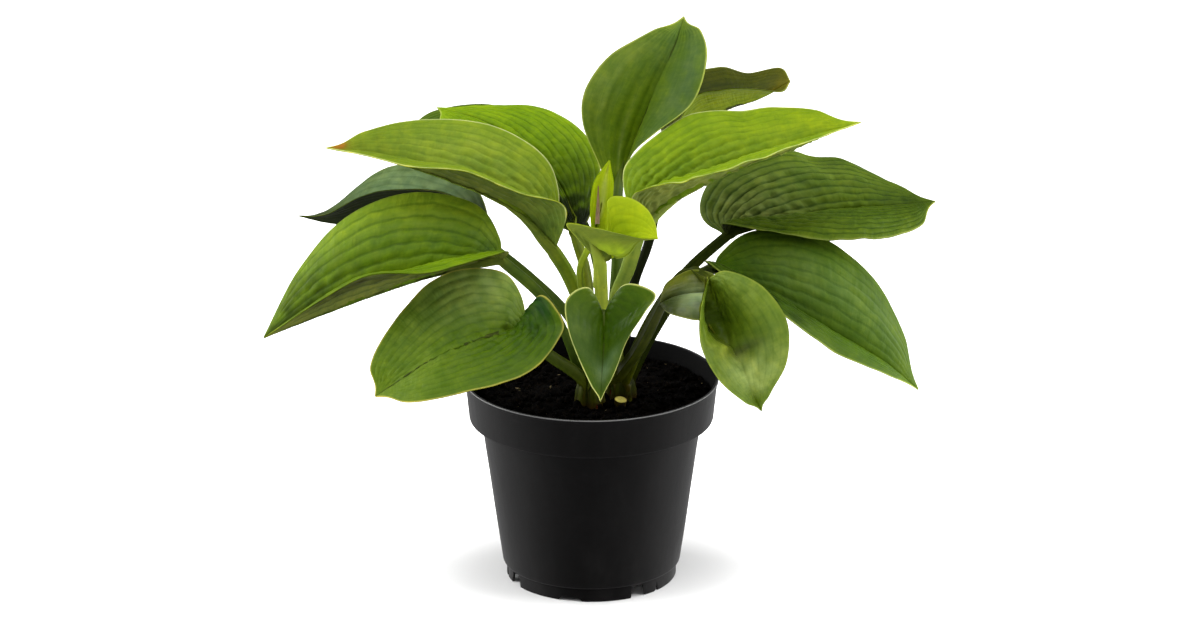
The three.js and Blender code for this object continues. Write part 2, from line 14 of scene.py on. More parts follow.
import bpy
import numpy as np
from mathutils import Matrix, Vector

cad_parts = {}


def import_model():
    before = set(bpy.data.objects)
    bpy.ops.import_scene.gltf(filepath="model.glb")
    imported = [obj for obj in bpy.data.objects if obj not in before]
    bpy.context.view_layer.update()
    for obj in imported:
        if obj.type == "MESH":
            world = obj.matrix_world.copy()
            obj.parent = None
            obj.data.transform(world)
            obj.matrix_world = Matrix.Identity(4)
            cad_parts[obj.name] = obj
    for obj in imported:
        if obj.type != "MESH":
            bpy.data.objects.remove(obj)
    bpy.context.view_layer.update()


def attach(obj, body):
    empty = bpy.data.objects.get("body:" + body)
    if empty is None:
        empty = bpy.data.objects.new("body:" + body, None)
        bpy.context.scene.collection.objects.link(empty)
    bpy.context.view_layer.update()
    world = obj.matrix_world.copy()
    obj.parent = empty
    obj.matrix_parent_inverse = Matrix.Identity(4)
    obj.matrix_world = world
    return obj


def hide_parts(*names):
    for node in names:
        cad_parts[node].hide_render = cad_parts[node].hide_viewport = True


LOG = logging.getLogger("hosta")
MM = 0.001
SINES = 6  # waves in each octave of a ripple
SINES_PEAK = 3.5  # about the highest sum of that many sines
OCTAVES_PEAK = 1.5  # about the highest sum of the octaves
Point = tuple[float, float, float]
Colour = tuple[float, float, float]
Steps = tuple[int, int, int]
Array = np.ndarray
Socket = bpy.types.NodeSocket


# ---------------------------------------------------------------- numbers and curves
def linear(red: int, green: int, blue: int) -> Array:
    """Linear light of a colour given in display steps of 0 to 255.

    Args:
        red: red step.
        green: green step.
        blue: blue step.

    Returns:
        The three linear values: ((v / 255 + 0.055) / 1.055) to the power 2.4.
    """
    v = np.array([red, green, blue], float) / 255
    return np.where(v > 0.04045, ((v + 0.055) / 1.055) ** 2.4, v / 12.92)


def smooth(x: Array, low: float, high: float) -> Array:
    """Rises from 0 at low to 1 at high along 3x^2 - 2x^3."""
    v = np.clip((x - low) / (high - low), 0, 1)
    return v * v * (3 - 2 * v)


def spline(points: Array, t: Array) -> Array:
    """Smooth curve through points, its ends continued straight.

    Args:
        points: the points, one row each.
        t: fractions of the way, of any shape.

    Returns:
        The curve's points, with t's shape and one more axis of the points' width. Between two points it
        is the cubic that leaves each of them along half the step between that point's neighbours.
    """
    ends = np.vstack([2 * points[0] - points[1], points, 2 * points[-1] - points[-2]])
    s = np.clip(t, 0, 1) * (len(points) - 1)
    k = np.minimum(s.astype(int), len(points) - 2)
    u = (s - k)[..., None]
    a, b, c, d = (ends[k + i] for i in range(4))
    return 0.5 * (2 * b + (c - a) * u + (2 * a - 5 * b + 4 * c - d) * u**2 + (3 * b - a - 3 * c + d) * u**3)


def unit(v: Array) -> Array:
    """Vectors of length 1 along the last axis."""
    return v / np.maximum(np.linalg.norm(v, axis=-1, keepdims=True), 1e-12)


def ripple(p: Array, wave: float, seed: int, octaves: int = 3) -> Array:
    """Uneven field made of sine waves in seeded directions, each octave half as long and half as high.

    Args:
        p: points, coordinates on the last axis.
        wave: length of the longest waves, in the points' unit.
        seed: seed of the directions and phases.
        octaves: how many octaves are summed.

    Returns:
        Values of about -1 to 1, one for each point.
    """
    rng = np.random.default_rng(seed)
    total = np.zeros(p.shape[:-1])
    for octave in range(octaves):
        directions = unit(rng.normal(size=(SINES, p.shape[-1]))) * 2 * math.pi / wave * 2**octave
        phases = rng.uniform(0, 2 * math.pi, SINES)
        total += np.sin(p @ directions.T + phases).sum(-1) / SINES_PEAK / 2**octave
    return total / OCTAVES_PEAK


def travelled(path: Array) -> Array:
    """Length of a path from its start to each of its points."""
    return np.concatenate([[0], np.cumsum(np.linalg.norm(np.diff(path, axis=0), axis=-1))])


def carried(tangents: Array, up: Array) -> Array:
    """Directions square to a path that start along up at its end and are carried back without twist.

    Args:
        tangents: unit directions of travel, one row for each station.
        up: wanted direction at the last station.

    Returns:
        One unit direction for each station.
    """
    out = np.zeros_like(tangents)
    for i in range(len(tangents) - 1, -1, -1):
        up = up - (up @ tangents[i]) * tangents[i]
        up = up / np.linalg.norm(up)
        out[i] = up
    return out


# ---------------------------------------------------------------- meshes
@dataclass
class Skin:
    """What a vertex carries for its material, three columns of each.

    Attributes:
        tint: linear base colour.
        blade: vein coordinate (whole at each vein), millimetres along, millimetres between veins.
        mask: strength of the painted shade in the valleys at the veins, nothing, and 1 on a stalk.
        finish: roughness, strength of the vein lines, share of light let through.
    """

    tint: Array
    blade: Array
    mask: Array
    finish: Array


@dataclass
class Shell:
    """A closed surface as vertices in millimetres and quads or triangles, with its skin if it has one."""

    vertices: Array
    faces: list[Array]
    skin: Skin | None = None


def slab(upper: Array, lower: Array) -> Shell:
    """Closes two grids of points into one shell: both sheets and a strip round all four sides.

    Args:
        upper: grid of the upper sheet, rows by columns by 3. Its normal is rows' direction x columns'.
        lower: grid of the lower sheet.

    Returns:
        The shell, upper vertices first. Seen from outside, the faces of the strip run the other way
        round than those of the sheets.
    """
    rows, columns = upper.shape[:2]
    index = np.arange(rows * columns).reshape(rows, columns)
    top = quads(index)
    bottom = quads(index)[:, ::-1] + index.size
    ring = np.concatenate([index[0, :-1], index[:-1, -1], index[-1, :0:-1], index[:0:-1, 0]])
    after = np.roll(ring, -1)
    rim = np.stack([ring, ring + index.size, after + index.size, after], 1)
    return Shell(np.concatenate([upper.reshape(-1, 3), lower.reshape(-1, 3)]), [top, bottom, rim])


def quads(index: Array) -> Array:
    """The quads of a grid of vertex numbers, each facing rows' direction x columns' direction."""
    return np.stack([index[:-1, :-1], index[1:, :-1], index[1:, 1:], index[:-1, 1:]], -1).reshape(-1, 4)


def hose(rings: Array) -> Shell:
    """Closes a stack of rings into a shell: its side, and a fan of triangles over each end.

    Args:
        rings: stations by points by 3, each ring counter-clockwise about the direction of travel.

    Returns:
        The shell, ring vertices first, then the two end centres.
    """
    rows, columns = rings.shape[:2]
    index = np.arange(rows * columns).reshape(rows, columns)
    wrapped = np.concatenate([index, index[:, :1]], 1)
    side = quads(wrapped)[:, ::-1]
    low, high = rows * columns, rows * columns + 1
    first = np.stack([np.full(columns, low), np.roll(index[0], -1), index[0]], 1)
    last = np.stack([np.full(columns, high), index[-1], np.roll(index[-1], -1)], 1)
    centres = np.stack([rings[0].mean(0), rings[-1].mean(0)])
    return Shell(np.concatenate([rings.reshape(-1, 3), centres]), [side, first, last])

def capped(values: Array) -> Array:
    """One row for each vertex of a hose: the rings' rows, then those of the two end centres."""
    return np.vstack([values, values[:1], values[-1:]])


def rod(centres: Array, radii: Array, up: Point, sides: int) -> Array:
    """Rings of a round rod along a path.

    Args:
        centres: the path's points, one row for each ring.
        radii: the rings' radii.
        up: direction that the last ring's points are counted from.
        sides: points on a ring.

    Returns:
        The rings, stations by points by 3.
    """
    tangents = unit(np.gradient(centres, axis=0))
    top = carried(tangents, np.array(up))
    side = np.cross(top, tangents)
    angle = np.arange(sides) * 2 * math.pi / sides
    spokes = np.cos(angle)[:, None] * side[:, None] + np.sin(angle)[:, None] * top[:, None]
    return centres[:, None] + radii[:, None, None] * spokes


def spun(profile: Array, sides: int) -> Array:
    """Turns a profile about Z.

    Args:
        profile: rows of radius and height.
        sides: points on each ring.

    Returns:
        The points (r cos a, r sin a, height), profile points by sides by 3.
    """
    angle = np.arange(sides) * 2 * math.pi / sides
    radius, height = profile[:, :1], profile[:, 1:]
    return np.stack([radius * np.cos(angle), radius * np.sin(angle), height + 0 * angle], -1)


def joined(shells: list[Shell]) -> Shell:
    """Puts several shells into one.

    Args:
        shells: closed shells, either all with a skin or all without.

    Returns:
        One shell whose parts are each still closed.
    """
    starts = np.cumsum([0] + [len(s.vertices) for s in shells])
    faces = [f + start for s, start in zip(shells, starts) for f in s.faces]
    skin = None
    if shells[0].skin is not None:
        names = [f.name for f in fields(Skin)]
        skin = Skin(*(np.concatenate([getattr(s.skin, n) for s in shells]) for n in names))
    return Shell(np.concatenate([s.vertices for s in shells]), faces, skin)


def build(name: str, shell: Shell, material: bpy.types.Material) -> bpy.types.Object:
    """Puts a shell into a mesh object at the origin.

    Args:
        name: the object's name.
        shell: its surface, in millimetres.
        material: its only material.

    Returns:
        The new object, in metres, shaded smooth.
    """
    mesh = bpy.data.meshes.new(name)
    loops = np.concatenate([f.ravel() for f in shell.faces])
    sizes = np.concatenate([np.full(len(f), f.shape[1]) for f in shell.faces])
    starts = np.concatenate([[0], np.cumsum(sizes)[:-1]])
    mesh.vertices.add(len(shell.vertices))
    mesh.vertices.foreach_set("co", (shell.vertices * MM).astype(np.float32).ravel())
    mesh.loops.add(len(loops))
    mesh.loops.foreach_set("vertex_index", loops.astype(np.int32))
    mesh.polygons.add(len(sizes))
    mesh.polygons.foreach_set("loop_start", starts.astype(np.int32))
    mesh.polygons.foreach_set("use_smooth", np.full(len(sizes), True))
    mesh.update(calc_edges=True)
    mesh.validate()
    if shell.skin is not None:
        dress(mesh, shell.skin)
    mesh.materials.append(material)
    obj = bpy.data.objects.new(name, mesh)
    bpy.context.scene.collection.objects.link(obj)
    return obj


def dress(mesh: bpy.types.Mesh, skin: Skin) -> None:
    """Stores a skin in a mesh: the tint as a colour, the rest as vectors, one value for each vertex.

    Args:
        mesh: the mesh, its vertices in the skin's order.
        skin: the values.
    """
    tint = np.concatenate([skin.tint, np.ones((len(skin.tint), 1))], 1).astype(np.float32)
    mesh.attributes.new("Tint", "FLOAT_COLOR", "POINT").data.foreach_set("color", tint.ravel())
    for name, values in (("Blade", skin.blade), ("Mask", skin.mask), ("Finish", skin.finish)):
        layer = mesh.attributes.new(name, "FLOAT_VECTOR", "POINT")
        layer.data.foreach_set("vector", values.astype(np.float32).ravel())


# ---------------------------------------------------------------- finishes
@dataclass(frozen=True)
class Veil:
    """Multiplies a colour where a noise field is high.

    Attributes:
        low: value of the field where it begins.
        high: value of the field where it is whole.
        amount: how much of it shows there.
        factor: what the colour is multiplied by.
    """

    low: float
    high: float
    amount: float
    factor: Colour


class Graph:
    """Short names for building the nodes of one material or world."""

    def __init__(self, owner: bpy.types.Material | bpy.types.World) -> None:
        """Clears the owner's nodes.

        Args:
            owner: the material or world to build.
        """
        owner.use_nodes = True
        self.owner = owner
        self.tree = owner.node_tree
        self.tree.nodes.clear()

    def node(self, kind: str, inputs: dict | None = None, **settings: object) -> bpy.types.Node:
        """Adds a node.

        Args:
            kind: the node's type without the ShaderNode prefix.
            inputs: input name or number to a socket to link or a value to set.
            settings: the node's own properties.

        Returns:
            The node.
        """
        made = self.tree.nodes.new("ShaderNode" + kind)
        for key, value in settings.items():
            setattr(made, key, value)
        for key, value in (inputs or {}).items():
            if isinstance(value, Socket):
                self.tree.links.new(value, made.inputs[key])
            else:
                made.inputs[key].default_value = value
        return made

    def math(self, operation: str, *values: object) -> Socket:
        """Result of a Math node on sockets or numbers."""
        return self.node("Math", dict(enumerate(values)), operation=operation).outputs[0]

    def step(self, value: object, low: float, high: float, start: float = 0.0, end: float = 1.0,
             kind: str = "SMOOTHSTEP") -> Socket:
        """Result of a Map Range from low..high to start..end, smooth unless another kind is given."""
        inputs = {"Value": value, "From Min": low, "From Max": high, "To Min": start, "To Max": end}
        return self.node("MapRange", inputs, interpolation_type=kind).outputs[0]

    def mix(self, factor: object, a: object, b: object, blend: str = "MIX") -> Socket:
        """Mixes two colours.

        Args:
            factor: a socket or number; 0 gives a and 1 gives b.
            a: a socket or linear triple.
            b: a socket or linear triple.
            blend: the node's blend type.

        Returns:
            The mixed colour.
        """
        pads = [v if isinstance(v, Socket) else (*v, 1.0) for v in (a, b)]
        made = self.node("Mix", {0: factor, 6: pads[0], 7: pads[1]}, data_type="RGBA", blend_type=blend)
        return made.outputs[2]

    def tinge(self, base: Socket, share: object, factor: Colour) -> Socket:
        """A colour, multiplied by a factor where share is 1."""
        return self.mix(share, base, self.mix(1.0, base, factor, "MULTIPLY"))

    def veiled(self, base: Socket, noise: Socket, veil: Veil,
               share: float = 1.0) -> Socket:
        """A colour under a share of a veil that follows a noise field."""
        shown = self.step(noise, veil.low, veil.high, 0.0, veil.amount * share)
        return self.tinge(base, shown, veil.factor)

    def vector(self, name: str) -> list[Socket]:
        """The three parts of a named vector of the mesh."""
        return self.parts(self.node("Attribute", attribute_name=name).outputs["Vector"])

    def parts(self, vector: object) -> list[Socket]:
        """The three parts of a vector."""
        return list(self.node("SeparateXYZ", {0: vector}).outputs)

    def tint(self) -> Socket:
        """The mesh's own colour."""
        return self.node("Attribute", attribute_name="Tint").outputs["Color"]

    def spot(self) -> Socket:
        """Object coordinates, in metres."""
        return self.node("TexCoord").outputs["Object"]

    def length(self, vector: Socket) -> Socket:
        """Length of a vector."""
        return self.node("VectorMath", {0: vector}, operation="LENGTH").outputs["Value"]

    def grain(self, scale: float, detail: float, rough: float,
              stretch: Point = (1.0, 1.0, 1.0)) -> Socket:
        """Noise in object coordinates; a coordinate's stretch below 1 draws the noise out along it."""
        place = self.node("Mapping", {"Vector": self.spot(), "Scale": stretch}).outputs[0]
        return self.noise(place, scale, detail, rough)

    def noise(self, vector: object, scale: float, detail: float, rough: float) -> Socket:
        """Height of a noise field, 0 to 1."""
        inputs = {"Vector": vector, "Scale": scale, "Detail": detail, "Roughness": rough}
        return self.node("TexNoise", inputs).outputs[0]

    def bump(self, height: object, strength: float, depth: float,
             normal: Socket | None = None) -> Socket:
        """Normal of a bump map.

        Args:
            height: the height, 0 to 1.
            strength: how strongly it tilts the normal.
            depth: what a height of 1 stands for, in metres.
            normal: an earlier normal to work on.

        Returns:
            The normal.
        """
        inputs = {"Height": height, "Strength": strength, "Distance": depth}
        if normal is not None:
            inputs["Normal"] = normal
        return self.node("Bump", inputs).outputs[0]

    def body(self, base: object, rough: object, gloss: float, more: dict) -> Socket:
        """Principled shader from its base colour, roughness, specular level and more inputs by name."""
        inputs = {"Base Color": base, "Roughness": rough, "Specular IOR Level": gloss, **more}
        return self.node("BsdfPrincipled", inputs).outputs[0]

    def finish(self, surface: Socket, kind: str = "Material") -> bpy.types.ID:
        """Connects the shader to the owner's output, and gives the owner."""
        self.node("Output" + kind, {"Surface": surface})
        return self.owner


CLOUD = Veil(0.36, 0.64, 1.0, (0.72, 0.8, 0.86))
PALE_PATCH = Veil(0.5, 0.68, 0.55, (1.35, 1.22, 1.0))
DARK_PATCH = Veil(0.5, 0.34, 0.4, (0.7, 0.78, 0.8))
STREAK = Veil(0.42, 0.66, 0.4, (0.74, 0.82, 0.8))
CROSS_VEIN = Veil(0.42, 0.6, 0.3, (0.76, 0.84, 0.8))
PAINTED_VEIN_SHADE = (0.42, 0.51, 0.46)  # painted shade: factor on the colour in the valley at a vein
PALE_LINE = (3.0, 2.6, 2.6)  # factor on the colour at a vein's pale line
FIBRE = (0.45, 0.42, 0.4)  # factor on the colour along a dark fibre


@dataclass(frozen=True)
class LeafFinish:
    """Living leaf: tinted tissue with sunken veins under painted shade, a waxy face and light that passes
    through.

    Attributes:
        hue: factor on the tissue's colour.
        glow: colour of light passing through, as a multiple of the tint.
        gloss: specular level.
        coat: weight of the clear waxy layer.
        pucker: strength of the cross veins' bump.
        mottle: strength of the light and dark patches.
        groove: half width of the painted shade in a vein's valley, as a share of the distance between veins.
        merging: millimetres between veins at which their painted valley shade is gone and is whole.
        line: millimetres from a vein at which its pale line is whole and is gone.
    """

    hue: Colour = (1.0, 0.93, 0.65)
    glow: Colour = (1.3, 1.3, 0.5)
    gloss: float = 0.05
    coat: float = 0.0
    pucker: float = 0.6
    mottle: float = 0.8
    groove: float = 0.17
    merging: tuple[float, float] = (0.6, 3.0)
    line: tuple[float, float] = (0.15, 0.75)

    def make(self, name: str) -> bpy.types.Material:
        """Builds the material.

        Args:
            name: its name.

        Returns:
            The material. Its painted valley shade and its lines lie at the distance |v - round(v)| from the
            nearest vein, where v is the vein coordinate, times the distance between veins for the lines.
        """
        g = Graph(bpy.data.materials.new(name))
        vein, along, pitch = g.vector("Blade")
        vein_shading, _, stalk = g.vector("Mask")
        rough, lines, through = g.vector("Finish")
        blade = g.math("SUBTRACT", 1.0, stalk)
        away = g.math("PINGPONG", vein, 0.5)
        # painted shade: the colour is darkened in the valley along each vein
        depth = g.math("MULTIPLY", g.math("MULTIPLY", blade, vein_shading), g.step(pitch, *self.merging))
        valley = g.math("MULTIPLY", g.step(away, 0.02, self.groove, 1.0, 0.0), depth)
        line = g.math("MULTIPLY", g.step(g.math("MULTIPLY", away, pitch), *self.line, 1.0, 0.0), lines)
        across = g.math("MULTIPLY", vein, pitch)
        drawn_across = {0: g.math("MULTIPLY", across, 0.2), 1: along, 2: pitch}
        ladder = g.noise(g.node("CombineXYZ", drawn_across).outputs[0], 0.5, 3.0, 0.6)
        drawn_along = {0: across, 1: g.math("MULTIPLY", along, 0.12), 2: pitch}
        streak = g.noise(g.node("CombineXYZ", drawn_along).outputs[0], 0.55, 3.0, 0.6)
        patch = g.grain(170.0, 4.0, 0.6)
        base = g.mix(1.0, g.tint(), self.hue, "MULTIPLY")
        base = g.veiled(base, g.grain(60.0, 3.0, 0.55), CLOUD, self.mottle)
        base = g.veiled(base, patch, PALE_PATCH, self.mottle)
        base = g.veiled(base, patch, DARK_PATCH, self.mottle)
        base = g.veiled(base, streak, STREAK)
        base = g.veiled(base, ladder, CROSS_VEIN)
        base = g.tinge(base, valley, PAINTED_VEIN_SHADE)
        base = g.tinge(base, line, PALE_LINE)
        normal = g.bump(g.math("MULTIPLY", ladder, blade), self.pucker, 0.0009)
        roughness = g.math("ADD", rough, g.math("MULTIPLY", g.math("SUBTRACT", patch, 0.5), 0.3))
        wax = {"Normal": normal, "Coat Weight": self.coat, "Coat Roughness": 0.25}
        body = g.body(base, roughness, self.gloss, wax)
        lit = g.node("BsdfTranslucent", {"Color": g.mix(1.0, base, self.glow, "MULTIPLY")}).outputs[0]
        share = g.math("MAXIMUM", through, g.node("NewGeometry").outputs["Backfacing"])
        return g.finish(g.node("MixShader", {0: share, 1: body, 2: lit}).outputs[0])


@dataclass(frozen=True)
class PotFinish:
    """Thin black recycled plastic: satin, a little uneven, with faint rubbed and dusty marks.

    Attributes:
        base: the plastic outside.
        dust: pale dust in smears and scuffs.
        lip_glint: painted highlight along the outer edge of the lip.
        inside: the plastic inside, darkened as painted shade within the pot.
        ground: heights in metres where the dust is thickest and where it has thinned out.
        lip_height: heights in metres where the painted highlight of the lip begins and is whole.
        lip_radius: distances from the axis in metres where it begins and is whole.
    """

    base: Colour = (0.0026, 0.0023, 0.0024)
    dust: Colour = (0.03, 0.028, 0.026)
    # painted highlight along the lip
    lip_glint: Colour = (0.16, 0.16, 0.16)
    # painted shade inside the pot
    inside: Colour = (0.0006, 0.0006, 0.0006)
    ground: tuple[float, float] = (0.0, 0.05)
    lip_height: tuple[float, float] = (0.1392, 0.1398)
    lip_radius: tuple[float, float] = (0.0846, 0.0853)

    def make(self, name: str) -> bpy.types.Material:
        """Builds the material.

        Args:
            name: its name.

        Returns:
            The material. A face is inside, and painted darker as shade, where its normal points toward the
            pot's axis.
        """
        g = Graph(bpy.data.materials.new(name))
        smear = g.grain(38.0, 5.0, 0.62, (1.0, 1.0, 0.35))
        scuff = g.grain(60.0, 6.0, 0.7, (0.3, 0.3, 2.2))
        spot = g.spot()
        height = g.parts(spot)[2]
        dusty = g.math("MULTIPLY", g.step(smear, 0.45, 0.75), g.step(height, *self.ground, 0.22, 0.03))
        marks = g.math("MULTIPLY", g.step(scuff, 0.62, 0.72), 0.12)
        base = g.mix(g.math("MAXIMUM", dusty, marks), self.base, self.dust)
        outward = g.node("NewGeometry").outputs["Normal"]
        side = g.node("VectorMath", {0: outward, 1: spot}, operation="DOT_PRODUCT").outputs["Value"]
        inner = g.step(side, 0.01, -0.01)
        # painted shade: inside faces take a darker colour
        base = g.mix(inner, base, self.inside)
        flat = g.node("VectorMath", {0: spot, 1: (1.0, 1.0, 0.0)}, operation="MULTIPLY").outputs[0]
        # painted highlight: a pale line along the outer top edge of the lip
        rim = g.math("MULTIPLY", g.step(height, *self.lip_height), g.step(g.length(flat), *self.lip_radius))
        base = g.mix(g.math("MULTIPLY", rim, 0.8), base, self.lip_glint)
        roughness = g.math("MAXIMUM", g.step(smear, 0.25, 0.75, 0.38, 0.5), inner)
        normal = g.bump(g.grain(1500.0, 3.0, 0.6), 0.14, 0.0002, g.bump(smear, 0.25, 0.0012))
        return g.finish(g.body(base, roughness, 0.18, {"Normal": normal}))


@dataclass(frozen=True)
class SoilFinish:
    """Moist peat mix: near black, brown where fibres dry, every crumb a little different."""

    wet: Colour = (0.0005, 0.0003, 0.0002)
    dry: Colour = (0.009, 0.005, 0.002)

    def make(self, name: str) -> bpy.types.Material:
        """Builds the material.

        Args:
            name: its name.

        Returns:
            The material.
        """
        g = Graph(bpy.data.materials.new(name))
        crumb = g.grain(320.0, 6.0, 0.7)
        patch = g.grain(60.0, 3.0, 0.5)
        base = g.mix(g.step(crumb, 0.45, 0.78), self.wet, self.dry)
        base = g.mix(g.step(patch, 0.35, 0.7, 0.0, 0.7), base, self.wet)
        normal = g.bump(crumb, 0.9, 0.0012)
        return g.finish(g.body(base, g.step(patch, 0.3, 0.7, 0.75, 0.95), 0.03, {"Normal": normal}))


@dataclass(frozen=True)
class TissueFinish:
    """Tinted plant tissue without a blade's veins: crown scales, bark chips and dry sheath.

    Attributes:
        fibres: dark lines along the fibres.
        rough: roughness.
        blotch: paler patches.
    """

    fibres: Veil = Veil(0.35, 0.7, 0.5, FIBRE)
    rough: float = 0.5
    blotch: Veil = Veil(0.45, 0.7, 0.4, (1.5, 1.3, 1.1))

    def make(self, name: str) -> bpy.types.Material:
        """Builds the material.

        Args:
            name: its name.

        Returns:
            The material.
        """
        g = Graph(bpy.data.materials.new(name))
        fibre = g.grain(900.0, 3.0, 0.6, (1.0, 1.0, 0.12))
        base = g.veiled(g.tint(), fibre, self.fibres)
        base = g.veiled(base, g.grain(160.0, 3.0, 0.6), self.blotch)
        return g.finish(g.body(base, self.rough, 0.05, {"Normal": g.bump(fibre, 0.35, 0.0003)}))


class Slot(Enum):
    """The record's material slots."""

    POT = "pot_plastic"
    SOIL = "soil_peat"
    CROWN = "crown"
    SHEATH = "sheath_dry"
    LIGHT = "leaf_light"
    MID = "leaf_mid"
    DARK = "leaf_dark"
    BLUE = "leaf_blue"
    YOUNG = "leaf_young"
    GLOSS = "leaf_gloss"


FINISHES = {
    Slot.POT: PotFinish(),
    Slot.SOIL: SoilFinish(),
    Slot.CROWN: TissueFinish(),
    Slot.SHEATH: TissueFinish(Veil(0.35, 0.7, 0.6, FIBRE), 0.7),
    Slot.LIGHT: LeafFinish(),
    Slot.MID: LeafFinish(gloss=0.06),
    Slot.DARK: LeafFinish(gloss=0.07, pucker=0.9, groove=0.22),
    Slot.BLUE: LeafFinish(gloss=0.09),
    Slot.YOUNG: LeafFinish(pucker=0.3, mottle=0.5),
    Slot.GLOSS: LeafFinish(gloss=0.16, coat=0.03, pucker=0.4),
}


class Wardrobe:
    """Makes each slot's material once."""

    def __init__(self) -> None:
        """Starts with no material made."""
        self.made: dict[Slot, bpy.types.Material] = {}

    def get(self, slot: Slot) -> bpy.types.Material:
        """The slot's material, made when it is first wanted."""
        if slot not in self.made:
            self.made[slot] = FINISHES[slot].make(slot.value)
        return self.made[slot]


# ---------------------------------------------------------------- leaves
@dataclass(frozen=True)
class Form:
    """Shape of one leaf, in millimetres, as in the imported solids.

    Attributes:
        foot: x and y of the stalk's foot in the crown.
        stalk: the stalk's last free points before the blade.
        girth: the stalk's radius at its upper steps.
        arch: height of each half's crown over its width, as a share of the width.
        mid: the midrib from base to tip.
        left: the left margin between base and tip.
        right: the right margin between base and tip.
    """

    foot: tuple[float, float]
    stalk: tuple[Point, ...]
    girth: tuple[float, ...]
    arch: float
    mid: tuple[Point, ...]
    left: tuple[Point, ...]
    right: tuple[Point, ...]


@dataclass(frozen=True)
class TintAndLightPatch:
    """A soft patch of another colour on a blade: some are the leaf's own tints, others painted light and
    shade.

    Attributes:
        at: fraction of the length and signed fraction of the half width (left is positive).
        reach: its half length and half width in the same fractions.
        colour: in display steps.
        amount: how much of it shows at its middle.
        face: 0 on the upper side, 1 on the underside.
    """

    at: tuple[float, float]
    reach: tuple[float, float]
    colour: Steps
    amount: float
    face: int = 0


@dataclass(frozen=True)
class Dent:
    """A soft swelling of a blade, or a hollow where its height in mm is below 0; placed as a Stain is."""

    at: tuple[float, float]
    reach: tuple[float, float]
    height: float


@dataclass(frozen=True)
class Look:
    """Colours, in display steps, and surface of one leaf.

    Attributes:
        slot: the record's material slot.
        upper: tissue of the upper side.
        fresh: tissue of the upper side toward the margin and the tip.
        under: tissue of the underside.
        margin: the thin translucent margin.
        stalk: the stalk; on some leaves darker than its own colour, as painted shade under the leaves above.
        ribs: veins in each half.
        quilt: height of the ridges between veins, in mm.
        calm: how much of the ridges the right and the left half keep.
        pucker: height of the crinkles across the ridges, in mm.
        wave: height of the margin's waves, in mm.
        slack: share of each half's arch that is left out.
        level: height in mm that fills the fold along the midrib.
        rough: roughness of the upper side.
        through: share of light let through.
        lines: strength of the pale vein lines.
        rim: strength of the pale margin.
        tint_and_light_patches: soft patches of colour, the leaf's own tints and painted light, shade and
            highlights.
        dents: soft hollows and swellings.
        gusset: path of the stalk's run-out under the blade, with its radius as the fourth value.
        crease: how sharp the fold along the midrib is, 0 to 1.
        bare: share of the length at the base where the margin is turned in and not pale.
        spur: share of the length over which the stalk runs out under the midrib.
        drip: how much the blade is drawn in before its tip.
        vein_shading: strength of the painted shade in the valleys at the veins.
    """

    slot: Slot
    upper: Steps
    fresh: Steps
    under: Steps
    margin: Steps = (170, 180, 100)
    stalk: Steps = (62, 82, 26)
    ribs: int = 8
    quilt: float = 0.9
    calm: tuple[float, float] = (1.0, 1.0)
    pucker: float = 0.35
    wave: float = 0.5
    slack: float = 0.0
    level: float = 1.0
    rough: float = 0.45
    through: float = 0.14
    lines: float = 0.1
    rim: float = 0.5
    tint_and_light_patches: tuple[TintAndLightPatch, ...] = ()
    dents: tuple[Dent, ...] = ()
    gusset: tuple[tuple[float, float, float, float], ...] = ()
    crease: float = 1.0
    bare: float = 0.14
    spur: float = 0.4
    drip: float = 0.35
    vein_shading: float = 0.6


